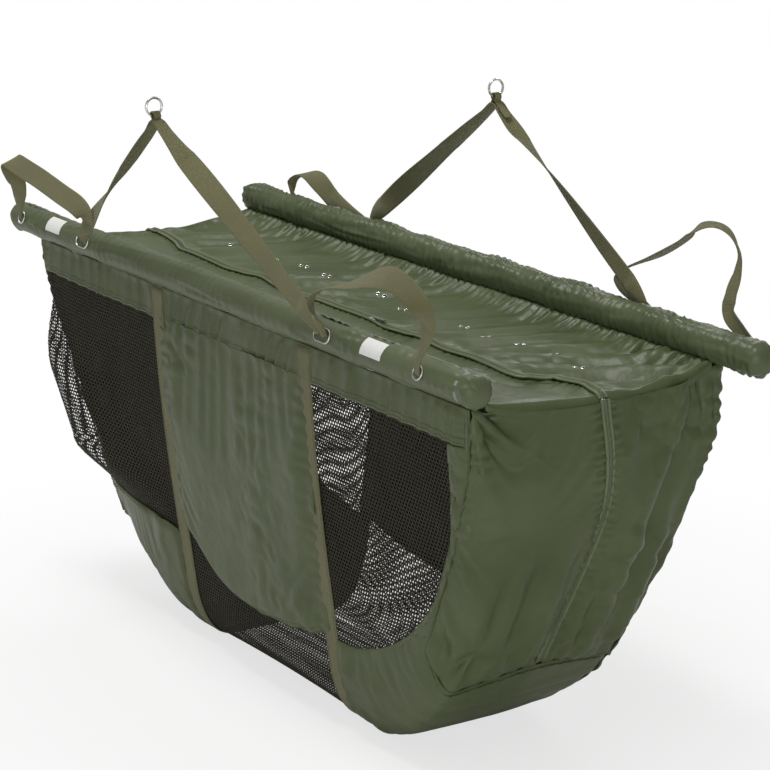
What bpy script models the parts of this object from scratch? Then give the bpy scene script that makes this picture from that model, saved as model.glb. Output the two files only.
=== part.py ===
"""Recovery sling: a nylon and mesh fish sling hung between two padded float bars.

Metres, +Z up. X runs along the bars, -Y is the near side, z = 0 is the underside of the sling.
The bag is alike after half a turn about the vertical axis, and only the zip and the labels differ.
"""

import math

import bmesh
import bpy
from mathutils import Matrix, Vector

# Bars and sleeves
BAR_SPACING = 0.365
BAR_HEIGHT = 0.548
FOAM_RADIUS = 0.0185
ROD_RADIUS = 0.005
ROD_CLEARANCE = 0.0003
FOAM_CLEARANCE = 0.0007
SLEEVE_WALL = 0.0012
SLEEVE_TAIL_END = 0.635
SLEEVE_FLUSH_END = 0.556
FOAM_END_CLEARANCE = 0.012

# Cloth bag
CLOTH = 0.0012
GAP = 0.0003
SEAM_GAP = 0.0005
RIM_GAP = 0.0009
HALF_LENGTH = 0.545
END_CORNER_X = 0.400
END_KEEL_X = 0.440
END_SIDE_POWER = 3.2
END_BOW = 0.012
WALL_TOP_OUTSET = 0.004
BASE_HALF_WIDTH = 0.070
BASE_SPREAD = 0.050
BASE_SPREAD_X = 0.380
CHINE_Y = 0.145
CHINE_Z = 0.100
WALL_KNEE_Z = 0.400
FLAT_HALF_LENGTH = 0.208
END_RISE = 0.140
RISE_POWER = 1.9
BAND_HEIGHT = 0.046
FLOOR_MESH_HEIGHT = 0.106
FLOOR_MESH_ARCH = 0.050

# Mesh windows
WINDOW_TOP_DROP = 0.004
WINDOW_BOTTOM_Z = 0.130
WINDOW_OUTER_X = 0.500
WINDOW_FULL_OUTER_X = 0.512
WINDOW_ROUND = 2.0
WINDOW_FULL = 3.6

# Cover and zip
COVER_EDGE_INSET = 0.014
COVER_SAG = 0.018
ZIP_WIDTH = 0.006
ZIP_CLEARANCE = 0.0008
ZIP_TOP_Y = -0.080
ZIP_END_Y = -0.050
ZIP_LOW_Y = 0.010
ZIP_MID_Y = 0.031
ZIP_TURN_X = 0.400
SLIDER_X = 0.118
SLIDER_LENGTH = 0.015
SLIDER_WIDTH = 0.008
SLIDER_HEIGHT = 0.0045
SLIDER_OFFSET = 0.0018
PULLER_LENGTH = 0.026
PULLER_WIDTH = 0.005
PULLER_THICKNESS = 0.0016

# Webbing
WEBBING_WIDTH = 0.030
WEBBING = 0.0015
STRAP_GAP = 0.0006
STRAP_X = 0.190
FOOT_WIDTH = 0.014
FOOT_ANGLE = math.radians(72)
FOOT_PAIR_SPACING = 0.017
STRAP_FOOT_LEFT_X = -0.374
STRAP_FOOT_RIGHT_X = 0.248
HANDLE_TAIL_X = -0.579
HANDLE_FLUSH_X = 0.463
APEX_X = -0.070
STRAP_RISE = 0.225
NEAR_STRAP_LEAN = math.radians(11)
FAR_STRAP_LEAN = math.radians(-3)
HANDLE_LEAN = math.radians(20)

# Rings, eyelets and labels
RING_RADIUS = 0.0115
RING_WIRE = 0.0017
TAB_WIDTH = 0.010
TAB_EYE = 0.0046
TAB_LEG = 0.026
TAB_SHARE = 0.8
EYELET_WIRE = 0.0011
EYELET_CLEARANCE = 0.0006
FOOT_SINK = 0.0004
LABEL_LENGTH = 0.044
LABEL_FROM = math.radians(18)
LABEL_TO = math.radians(84)
LABEL_THICKNESS = 0.0005
LABEL_TAIL_X = -0.478
LABEL_FLUSH_X = 0.362

BAR_Y = BAR_SPACING / 2
SLEEVE_INNER = FOAM_RADIUS + FOAM_CLEARANCE
SLEEVE_OUTER = SLEEVE_INNER + SLEEVE_WALL
BASE_Z = CLOTH + STRAP_GAP + WEBBING
HAND_OFF = FOOT_PAIR_SPACING / 2

# Stations of the wrapped cloth, from the keel (0) past the flat base (1) and the chine (2) to the bar (3)
FLOOR_STATIONS = [-1.0, -0.5, 0.0, 0.5]
TURN_STATIONS = [1.0, 1.2, 1.4, 1.6, 1.8, 2.0, 2.2, 2.4, 2.6, 2.72]
COVER_STATIONS = [0.0, 0.1, 0.2, 0.3, 0.36, 0.4, 0.44, 0.475, 0.505, 0.53]
END_STATIONS = [0.004, 0.08, 0.16, 0.25, 0.35, 0.45, 0.55, 0.65, 0.74, 0.82, 0.88, 0.93, 0.97, 1.0]


def clear_scene():
    for old in list(bpy.data.objects):
        bpy.data.objects.remove(old, do_unlink=True)


def new_collection(name):
    made = bpy.data.collections.new(name)
    bpy.context.scene.collection.children.link(made)
    return made


def finish(name, colour, roughness, metallic=0.0):
    made = bpy.data.materials.new(name)
    made.use_nodes = True
    shader = made.node_tree.nodes["Principled BSDF"]
    shader.inputs["Base Color"].default_value = (*colour, 1.0)
    shader.inputs["Roughness"].default_value = roughness
    shader.inputs["Metallic"].default_value = metallic
    return made


def add_object(name, mesh, material, collection, smooth=False):
    made = bpy.data.objects.new(name, mesh)
    collection.objects.link(made)
    if material:
        mesh.materials.append(material)
    if smooth:
        mesh.shade_smooth()
        mesh.set_sharp_from_angle(angle=math.radians(40))
    return made


def mesh_from(bm, name):
    mesh = bpy.data.meshes.new(name)
    bm.to_mesh(mesh)
    bm.free()
    return mesh


def put_origin(thing, point):
    """Moves the object's origin to a point, with its mesh left where it is."""
    thing.data.transform(Matrix.Translation(-Vector(point)))
    thing.location = point


def thicken(thing, thickness, offset):
    wall = thing.modifiers.new("wall", "SOLIDIFY")
    wall.thickness = thickness
    wall.offset = offset


def cut(thing, cutter, operation="DIFFERENCE"):
    hole = thing.modifiers.new("cut", "BOOLEAN")
    hole.object = cutter
    hole.operation = operation
    hole.solver = "EXACT"


def smooth_step(value):
    value = min(1.0, max(0.0, value))
    return value * value * (3 - 2 * value)


def turned_half(point, side):
    """The near side (side 1) stays, and the far side (side -1) is half a turn about the vertical axis."""
    return Vector((side * point[0], side * point[1], point[2]))


def cloth_sheet(name, columns, rows, place, material, collection, thickness=CLOTH):
    """A grid laid on place(u, v) and thickened outwards. columns and rows list the values of u and v."""
    bm = bmesh.new()
    bmesh.ops.create_grid(bm, x_segments=len(columns) - 1, y_segments=len(rows) - 1, size=0.5)
    for vert in bm.verts:
        column = round((vert.co.x + 0.5) * (len(columns) - 1))
        row = round((vert.co.y + 0.5) * (len(rows) - 1))
        vert.co = place(columns[column], rows[row])
    made = add_object(name, mesh_from(bm, name), material, collection, smooth=True)
    thicken(made, thickness, 1.0)
    return made


def steps(count, low=0.0, high=1.0):
    return [low + (high - low) * n / count for n in range(count + 1)]


def smooth_route(points, per_span):
    """Points of a Catmull-Rom curve through rows of numbers."""
    padded = [points[0], *points, points[-1]]
    route = []
    for n in range(1, len(padded) - 2):
        before, start, end, after = padded[n - 1:n + 3]
        for k in range(per_span):
            t = k / per_span
            route.append([
                0.5 * (2 * b + (c - a) * t + (2 * a - 5 * b + 4 * c - d) * t * t
                       + (3 * b - a - 3 * c + d) * t ** 3)
                for a, b, c, d in zip(before, start, end, after)
            ])
    route.append(list(points[-1]))
    return route


def ribbon(name, stations, thickness, material, collection):
    """Webbing laid along rows of (x, y, z, width, turn). A turn of 0 sets the width along Y, square to the run."""
    bm = bmesh.new()
    last = None
    for n, (x, y, z, width, turn) in enumerate(stations):
        before = Vector(stations[max(n - 1, 0)][:3])
        after = Vector(stations[min(n + 1, len(stations) - 1)][:3])
        run = (after - before).normalized()
        across = (Vector((0, 1, 0)) - run * run.y).normalized()
        across = Matrix.Rotation(turn, 3, run) @ across
        pair = [bm.verts.new(Vector((x, y, z)) + across * width * k) for k in (-0.5, 0.5)]
        if last:
            bm.faces.new((last[0], last[1], pair[1], pair[0]))
        last = pair
    made = add_object(name, mesh_from(bm, name), material, collection)
    thicken(made, thickness, 0.0)
    return made


def turned(name, profile, segments, material, collection):
    """A profile of (x, radius) points turned about the X axis."""
    bm = bmesh.new()
    verts = [bm.verts.new((x, 0, radius)) for x, radius in profile]
    edges = [bm.edges.new((a, b)) for a, b in zip(verts, verts[1:])]
    if profile[0][1] > 0 or profile[-1][1] > 0:
        edges.append(bm.edges.new((verts[-1], verts[0])))
    bmesh.ops.spin(bm, geom=verts + edges, cent=(0, 0, 0), axis=(1, 0, 0), angle=math.tau,
                   steps=segments, use_merge=True, use_duplicate=False)
    bmesh.ops.remove_doubles(bm, verts=bm.verts, dist=0.00001)
    bmesh.ops.recalc_face_normals(bm, faces=bm.faces)
    return add_object(name, mesh_from(bm, name), material, collection, smooth=True)


# Shape of the bag

def rise(x):
    """How far the bottom lifts towards the ends."""
    past = max(0.0, abs(x) - FLAT_HALF_LENGTH) / (END_KEEL_X - FLAT_HALF_LENGTH)
    return END_RISE * past ** RISE_POWER


def bar_underside(y):
    """Height of a gap's width below a sleeve, at a distance y from the middle."""
    return BAR_HEIGHT - math.sqrt((SLEEVE_OUTER + SEAM_GAP) ** 2 - (abs(y) - BAR_Y) ** 2)


WALL_TOP_Y = BAR_Y + WALL_TOP_OUTSET
WALL_TOP_Z = bar_underside(BAR_Y)


def base_width(x):
    """Half the width of the flat floor at x."""
    return BASE_HALF_WIDTH + BASE_SPREAD * min(1.0, abs(x) / BASE_SPREAD_X) ** 2


def fold_station(x):
    """Far edge of the floor, set back from the far wall by what lets its raised ends fold over the floor."""
    room = SEAM_GAP
    if rise(x) > 0:
        room += (CLOTH + GAP) * rise(x) / (base_width(x) - BASE_HALF_WIDTH)
    return room / base_width(x) - 1


def section(x, t):
    """Inner face of the wrapped cloth at x: the distance out from the keel and the height, at station t."""
    base = base_width(x)
    top = WALL_TOP_Z - BASE_Z
    slope = (WALL_TOP_Y - CHINE_Y) / (WALL_KNEE_Z - CHINE_Z)
    if t <= 1:
        y, z = base * t, 0.0
    elif t <= 2:
        u = t - 1
        foot = CHINE_Y - slope * CHINE_Z
        y = (1 - u) ** 2 * base + 2 * u * (1 - u) * foot + u * u * CHINE_Y
        z = u * u * CHINE_Z
    else:
        u = t - 2
        y = (1 - u) ** 2 * CHINE_Y + (1 - (1 - u) ** 2) * WALL_TOP_Y
        z = (1 - u) ** 2 * CHINE_Z + 2 * u * (1 - u) * WALL_KNEE_Z + u * u * top
    lifted = rise(x)
    return y, BASE_Z + lifted + z * (1 - lifted / top)


def wrap_point(x, t, lift=0.0):
    """A point of the wrapped cloth, near side for t above 0, lifted outwards."""
    if t == FLOOR_STATIONS[0]:
        t = fold_station(x)
    distance = abs(t)
    y, z = section(x, distance)
    if lift:
        low = section(x, max(0.0, distance - 0.01))
        high = section(x, min(3.0, distance + 0.01))
        along = Vector((0, high[0] - low[0], high[1] - low[1])).normalized()
        y += along.z * lift
        z -= along.y * lift
    return Vector((x, -y if t >= 0 else y, z))


def station_at_height(x, height):
    low, high = 1.0, 3.0
    for _ in range(40):
        middle = (low + high) / 2
        if section(x, middle)[1] < height:
            low = middle
        else:
            high = middle
    return (low + high) / 2


def end_x(t):
    """Where the wrapped cloth ends and the end panel's seam runs."""
    t = abs(t)
    if t <= 2:
        return END_KEEL_X - (END_KEEL_X - END_CORNER_X) * (t / 2) ** 1.5
    return END_CORNER_X + (HALF_LENGTH - END_CORNER_X) * (1 - (3 - t) ** END_SIDE_POWER)


COVER_Y = BAR_Y - COVER_EDGE_INSET
COVER_EDGE_Z = bar_underside(COVER_Y) - CLOTH
BAND_STATION = station_at_height(STRAP_X, WALL_TOP_Z - BAND_HEIGHT)
WALL_STATIONS = {1: FLOOR_STATIONS + TURN_STATIONS, -1: TURN_STATIONS}


def cover_z(y):
    """Underside of the cover, which sags between the bars."""
    return COVER_EDGE_Z - COVER_SAG * (1 - (y / COVER_Y) ** 2)


def cover_end_x(y):
    return HALF_LENGTH + END_BOW * (1 - (y / WALL_TOP_Y) ** 2)


def end_rim(s):
    """Top edge of the end panel, just under the cover and the sleeves."""
    y = s * WALL_TOP_Y
    return Vector((cover_end_x(y), y, min(cover_z(y) - RIM_GAP, WALL_TOP_Z)))


def seam_point(t, far):
    point = wrap_point(end_x(t), t)
    return Vector((point.x, -point.y, point.z)) if far else point


def end_point(s, v):
    """Inner face of the right end panel: s runs from the near seam (-1) to the far seam (1), v runs up."""
    across = (s + 1) / 2
    low = seam_point(2 * abs(s), s > 0)
    high = end_rim(s)
    sides = seam_point(2 + v, False) * (1 - across) + seam_point(2 + v, True) * across
    corners = ((1 - v) * (seam_point(2, False) * (1 - across) + seam_point(2, True) * across)
               + v * (end_rim(-1) * (1 - across) + end_rim(1) * across))
    return low * (1 - v) + high * v + sides - corners


def end_s(v, y):
    """The s at which a row of the end panel reaches y."""
    low, high = -1.0, 1.0
    for _ in range(40):
        middle = (low + high) / 2
        if end_point(middle, v).y < y:
            low = middle
        else:
            high = middle
    return (low + high) / 2


def zip_end_y(v):
    """Line of the zip down an end panel."""
    lower = ZIP_LOW_Y + (ZIP_MID_Y - ZIP_LOW_Y) * smooth_step(v / 0.4)
    return lower + (ZIP_END_Y - ZIP_MID_Y) * smooth_step((v - 0.4) / 0.6)


def zip_room(v):
    """Half the slit for the zip, measured across an end panel where the zip runs at a slant."""
    low, high = max(0.0, v - 0.01), min(1.0, v + 0.01)
    climb = end_point(0, high) - end_point(0, low)
    drift = zip_end_y(high) - zip_end_y(low)
    return (ZIP_WIDTH / 2 + ZIP_CLEARANCE) * math.hypot(1.0, drift / climb.length)


def zip_top_y(x):
    """Line of the zip along the cover."""
    turn = smooth_step((abs(x) - ZIP_TURN_X) / (cover_end_x(ZIP_END_Y) - ZIP_TURN_X))
    return ZIP_TOP_Y + (ZIP_END_Y - ZIP_TOP_Y) * turn


# Sub-parts

def make_bar(side, name, mats, parts, cutters):
    """Foam float with a stiffening rod, in a sleeve with a domed tail and a flush end."""
    place = Matrix.Translation(turned_half((0, -BAR_Y, BAR_HEIGHT), side)) @ Matrix.Rotation(
        0 if side > 0 else math.pi, 4, "Z")
    tail = -SLEEVE_TAIL_END
    dome = SLEEVE_OUTER
    foam_low = tail + FOAM_END_CLEARANCE
    foam_high = SLEEVE_FLUSH_END - FOAM_END_CLEARANCE
    bore = ROD_RADIUS + ROD_CLEARANCE
    edge = 0.004
    foam = turned(f"{name}_float_bar", [
        (foam_low, bore), (foam_high, bore), (foam_high, FOAM_RADIUS - edge), (foam_high - edge, FOAM_RADIUS),
        (foam_low + 2 * edge, FOAM_RADIUS), (foam_low, FOAM_RADIUS - 2 * edge)], 20, mats["foam"], parts)
    rod = turned(f"{name}_stiffener_rod", [
        (foam_low, 0), (foam_low, ROD_RADIUS), (foam_high, ROD_RADIUS), (foam_high, 0)], 12, mats["rod"], parts)
    outer = [(tail + dome * (1 - math.cos(a)), SLEEVE_OUTER * math.sin(a))
             for a in [math.pi / 2 * k / 6 for k in range(7)]]
    inner = [(tail + SLEEVE_WALL + SLEEVE_INNER * (1 - math.cos(a)), SLEEVE_INNER * math.sin(a))
             for a in [math.pi / 2 * k / 6 for k in range(7)]]
    sleeve = turned(f"{name}_sleeve", outer + [(SLEEVE_FLUSH_END, SLEEVE_OUTER), (SLEEVE_FLUSH_END, SLEEVE_INNER)]
                    + inner[::-1], 28, mats["nylon"], parts)
    cap_low = SLEEVE_FLUSH_END + GAP
    cap = turned(f"{name}_sleeve_end", [
        (cap_low, 0), (cap_low, SLEEVE_OUTER), (cap_low + 0.004, SLEEVE_OUTER - 0.003), (cap_low + 0.006, 0)],
        20, mats["nylon"], parts)
    for thing in (foam, rod, sleeve, cap):
        thing.matrix_world = place
    for x, length in foot_slots():
        cutter = slot_cutter(f"{name}_slot_cutter_{x:.3f}", length, cutters)
        cutter.matrix_world = place @ Matrix.Translation((x, 0, 0)) @ Matrix.Rotation(FOOT_ANGLE, 4, "X")
        cut(sleeve, cutter)
        eyelet(f"{name}_{slot_name(x)}_eyelet", x, length, place, mats["metal"], parts)


def foot_slots():
    """Each slot in a sleeve: where it is along the bar, and the straight length between its round ends."""
    pair = FOOT_PAIR_SPACING
    return [(HANDLE_TAIL_X, 0.0), (STRAP_FOOT_LEFT_X - HAND_OFF, pair),
            (STRAP_FOOT_RIGHT_X + HAND_OFF, pair), (HANDLE_FLUSH_X, 0.0)]


def slot_name(x):
    names = ["tail", "tail_inner", "flush_inner", "flush"]
    return names[[slot[0] for slot in foot_slots()].index(x)]


def slot_outline(length, radius, count=8):
    """A slot with round ends, as (x, y) points."""
    ends = []
    for sign in (1, -1):
        for k in range(count + 1):
            angle = sign * (-math.pi / 2) + math.pi * k / count
            ends.append((sign * length / 2 + radius * math.cos(angle), radius * math.sin(angle)))
    return ends


def outline_points(length, radius):
    """The slot's outline without the points that meet when it has no straight part."""
    points = []
    for point in slot_outline(length, radius):
        if not points or (Vector(point) - Vector(points[-1])).length > 0.0001:
            points.append(point)
    if (Vector(points[0]) - Vector(points[-1])).length < 0.0001:
        points.pop()
    return points


SLOT_RADIUS = FOOT_WIDTH / 2 + EYELET_CLEARANCE


def slot_cutter(name, length, cutters):
    bm = bmesh.new()
    floor = SLEEVE_INNER / 2
    verts = [bm.verts.new((x, y, floor)) for x, y in outline_points(length, SLOT_RADIUS)]
    face = bm.faces.new(verts)
    grown = bmesh.ops.extrude_face_region(bm, geom=[face])
    up = [v for v in grown["geom"] if isinstance(v, bmesh.types.BMVert)]
    bmesh.ops.translate(bm, verts=up, vec=(0, 0, SLEEVE_OUTER))
    bmesh.ops.recalc_face_normals(bm, faces=bm.faces)
    cutter = add_object(name, mesh_from(bm, name), None, cutters)
    cutter.hide_render = True
    cutter.display_type = "WIRE"
    return cutter


def eyelet(name, x, length, place, material, parts):
    """A metal ring round a slot, lying on the sleeve."""
    curve = bpy.data.curves.new(name, "CURVE")
    curve.dimensions = "3D"
    curve.bevel_depth = EYELET_WIRE
    curve.bevel_resolution = 1
    outline = outline_points(length, SLOT_RADIUS + EYELET_WIRE)
    spline = curve.splines.new("POLY")
    spline.points.add(len(outline) - 1)
    for point, (px, py) in zip(spline.points, outline):
        point.co = (px, py, 0, 1)
    spline.use_cyclic_u = True
    curve.materials.append(material)
    made = bpy.data.objects.new(name, curve)
    parts.objects.link(made)
    stand = SLEEVE_OUTER + EYELET_WIRE + GAP
    made.matrix_world = (place @ Matrix.Translation((x, 0, 0)) @ Matrix.Rotation(FOOT_ANGLE, 4, "X")
                         @ Matrix.Translation((0, 0, stand)))


def make_walls(side, name, mats, parts, cutters):
    """The top band, the two window panels with their mesh, and the middle panel of one long side."""
    seam = SEAM_GAP / 2
    strap_x = STRAP_X

    def band(u, t):
        return turned_half(wrap_point(u * end_x(t), t), side)

    cloth_sheet(f"{name}_top_band", steps(16, -1.0, 1.0), [BAND_STATION + 0.003, 2.92, 3.0], band,
                mats["nylon"], parts)
    for hand, word in ((-1, "left"), (1, "right")):
        full = hand < 0
        shown = word if side > 0 else {"left": "right", "right": "left"}[word]

        def panel(u, t, hand=hand):
            inner = strap_x + seam
            x = hand * (inner + u * (end_x(t) - inner))
            return turned_half(wrap_point(x, t), side)

        columns = steps(8) if hand > 0 else steps(8, 1.0, 0.0)
        rows = WALL_STATIONS[side] + [BAND_STATION - 0.001]
        sheet = cloth_sheet(f"{name}_{shown}_panel", columns, rows, panel, mats["nylon"], parts)
        mesh_sheet = cloth_sheet(f"{name}_{shown}_window", columns, rows, panel, mats["mesh"], parts)
        outer = WINDOW_FULL_OUTER_X if full else WINDOW_OUTER_X
        power = WINDOW_FULL if full else WINDOW_ROUND
        cut(sheet, window_cutter(f"{name}_{shown}_window_cutter", side, hand, outer, power, 0.0, cutters))
        cut(mesh_sheet, window_cutter(f"{name}_{shown}_mesh_cutter", side, hand, outer, power, GAP, cutters),
            "INTERSECT")

    def lower_edge(x):
        arch = FLOOR_MESH_ARCH * (x / STRAP_X) ** 2
        return station_at_height(x, BASE_Z + FLOOR_MESH_HEIGHT + arch)

    def middle(u, v):
        x = u * (strap_x - seam)
        low = lower_edge(x) + 0.002
        return turned_half(wrap_point(x, low + v * (BAND_STATION - 0.001 - low)), side)

    cloth_sheet(f"{name}_centre_panel", steps(10, -1.0, 1.0), steps(6), middle, mats["nylon"], parts)

    def lower(u, t):
        x = u * (strap_x - seam)
        if t > 1:
            t = 1 + (t - 1) * (lower_edge(x) - 1.002)
        return turned_half(wrap_point(x, t), side)

    turn_rows = [1.0, 1.2, 1.4, 1.6, 1.8, 2.0]
    rows = FLOOR_STATIONS + turn_rows if side > 0 else turn_rows
    cloth_sheet("floor_mesh" if side > 0 else "far_lower_mesh", steps(10, -1.0, 1.0), rows, lower,
                mats["mesh"], parts)

    for hand, word in ((-1, "left"), (1, "right")):
        shown = word if side > 0 else {"left": "right", "right": "left"}[word]

        def strap(u, t, hand=hand):
            return turned_half(wrap_point(hand * strap_x + u * WEBBING_WIDTH, t, CLOTH + STRAP_GAP), side)

        cloth_sheet(f"{name}_{shown}_strap", [-0.5, 0.5], WALL_STATIONS[side] + [BAND_STATION, 2.92, 3.0],
                    strap, mats["webbing"], parts, WEBBING)


def window_cutter(name, side, hand, outer, power, shrink, cutters):
    """A prism with the window's outline: straight along the band and the strap, round at the outer corner."""
    inner_x = STRAP_X + WEBBING_WIDTH / 2 - 0.004 + shrink
    top_z = WALL_TOP_Z - BAND_HEIGHT - WINDOW_TOP_DROP - shrink
    reach = outer - shrink - inner_x
    drop = top_z - WINDOW_BOTTOM_Z - shrink
    count = 14
    outline = [(inner_x, top_z)]
    for k in range(count + 1):
        angle = math.pi / 2 * k / count
        outline.append((inner_x + reach * math.cos(angle) ** (2 / power) if k < count else inner_x,
                        top_z - drop * math.sin(angle) ** (2 / power)))
    bm = bmesh.new()
    verts = [bm.verts.new(turned_half((hand * x, -0.24, z), side)) for x, z in outline]
    face = bm.faces.new(verts)
    grown = bmesh.ops.extrude_face_region(bm, geom=[face])
    back = [v for v in grown["geom"] if isinstance(v, bmesh.types.BMVert)]
    bmesh.ops.translate(bm, verts=back, vec=(0, side * 0.16, 0))
    bmesh.ops.recalc_face_normals(bm, faces=bm.faces)
    cutter = add_object(name, mesh_from(bm, name), None, cutters)
    cutter.hide_render = True
    cutter.display_type = "WIRE"
    return cutter


def make_ends(mats, parts):
    """Each end is a near and a far panel, with the zip between them."""
    for hand, word in ((-1, "left"), (1, "right")):

        def edge(v):
            return 1 - SEAM_GAP / abs(end_point(1, v).y)

        def near(u, v, hand=hand):
            inner = end_s(v, zip_end_y(v) - zip_room(v))
            point = end_point(-edge(v) + u * (inner + edge(v)), v)
            return Vector((hand * point.x, point.y, point.z))

        def far(u, v, hand=hand):
            inner = end_s(v, zip_end_y(v) + zip_room(v))
            point = end_point(inner + u * (edge(v) - inner), v)
            return Vector((hand * point.x, point.y, point.z))

        columns = steps(7) if hand > 0 else steps(7, 1.0, 0.0)
        cloth_sheet(f"{word}_end_near_panel", columns, END_STATIONS, near, mats["nylon"], parts)
        cloth_sheet(f"{word}_end_far_panel", columns, END_STATIONS, far, mats["nylon"], parts)


def make_cover(mats, parts):
    """The narrow strip sewn to the near sleeve, the cover that opens, and the zip between them."""
    half = ZIP_WIDTH / 2 + ZIP_CLEARANCE
    share = [x / COVER_STATIONS[-1] for x in COVER_STATIONS]
    columns = [-u for u in share[:0:-1]] + share

    def across(u, y):
        return u * (cover_end_x(y) + CLOTH)

    def near(u, v):
        y_edge = zip_top_y(across(u, ZIP_TOP_Y)) - half
        y = -COVER_Y + v * (y_edge + COVER_Y)
        return Vector((across(u, y), y, cover_z(y)))

    def far(u, v):
        y_edge = zip_top_y(across(u, ZIP_TOP_Y)) + half
        y = y_edge + v * (COVER_Y - y_edge)
        return Vector((across(u, y), y, cover_z(y)))

    cloth_sheet("near_cover_strip", columns, steps(3), near, mats["nylon"], parts)
    cover = cloth_sheet("cover", columns, steps(6), far, mats["nylon"], parts)
    put_origin(cover, (0, BAR_Y, BAR_HEIGHT))

    route = []
    for hand in (-1, 1):
        end_rows = []
        for v in END_STATIONS[:-1]:
            point = end_point(end_s(v, zip_end_y(v)), v)
            end_rows.append((hand * (point.x + CLOTH / 2), zip_end_y(v), point.z, ZIP_WIDTH, 0.0))
        top_rows = []
        for u in share[:-1]:
            x = hand * across(u, ZIP_TOP_Y)
            y = zip_top_y(x)
            top_rows.append((x, y, cover_z(y) + CLOTH / 2, ZIP_WIDTH, 0.0))
        if hand < 0:
            route += end_rows + top_rows[::-1]
        else:
            route += top_rows[1:] + end_rows[::-1]
    ribbon("zip_coil", route, CLOTH, mats["zip"], parts)


def make_slider(mats, parts):
    """The zip slider, shifted off the cover's edge, and its puller tab."""
    y = ZIP_TOP_Y - SLIDER_OFFSET
    floor = cover_z(y - SLIDER_WIDTH / 2) + CLOTH + GAP
    bm = bmesh.new()
    bmesh.ops.create_cube(bm, size=1.0)
    bmesh.ops.scale(bm, verts=bm.verts, vec=(SLIDER_LENGTH, SLIDER_WIDTH, SLIDER_HEIGHT))
    made = add_object("zip_slider", mesh_from(bm, "zip_slider"), mats["metal"], parts)
    made.location = (SLIDER_X, y, floor + SLIDER_HEIGHT / 2)
    soften = made.modifiers.new("edges", "BEVEL")
    soften.width = 0.001
    soften.segments = 2
    bm = bmesh.new()
    bmesh.ops.create_cube(bm, size=1.0)
    bmesh.ops.scale(bm, verts=bm.verts, vec=(PULLER_LENGTH, PULLER_WIDTH, PULLER_THICKNESS))
    bmesh.ops.translate(bm, verts=bm.verts, vec=((PULLER_LENGTH - PULLER_THICKNESS) / 2, 0, 0))
    puller = add_object("zip_puller", mesh_from(bm, "zip_puller"), mats["zip"], parts)
    pivot = made.location.z + SLIDER_HEIGHT / 2 + GAP + PULLER_THICKNESS / math.sqrt(2)
    puller.location = (SLIDER_X, y, pivot)
    soften = puller.modifiers.new("edges", "BEVEL")
    soften.width = 0.0005
    soften.segments = 1


def foot_line():
    """The line that straps and handles swing about, just inside the mouths of the near sleeve's eyelets."""
    radius = SLEEVE_OUTER + GAP + 2 * EYELET_WIRE - FOOT_SINK
    return Vector((0, -BAR_Y - radius * math.sin(FOOT_ANGLE), BAR_HEIGHT + radius * math.cos(FOOT_ANGLE)))


def leaning(points, side, lean, per_span=3):
    """Rows of (x, height, width, turn) above the foot line, leaned outwards and carried to their side."""
    foot = foot_line()
    rows = []
    for x, height, width, turn in smooth_route(points, per_span):
        y = foot.y - height * math.sin(lean)
        z = foot.z + height * math.cos(lean)
        rows.append((*turned_half((x, y, z), side), width, turn))
    return rows


def height_at(route, x):
    """Height of a strap's route where it passes x."""
    for start, end in zip(route, route[1:]):
        if start[0] <= x <= end[0]:
            share = (x - start[0]) / (end[0] - start[0])
            return start[1] + share * (end[1] - start[1])
    return 0.0


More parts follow.
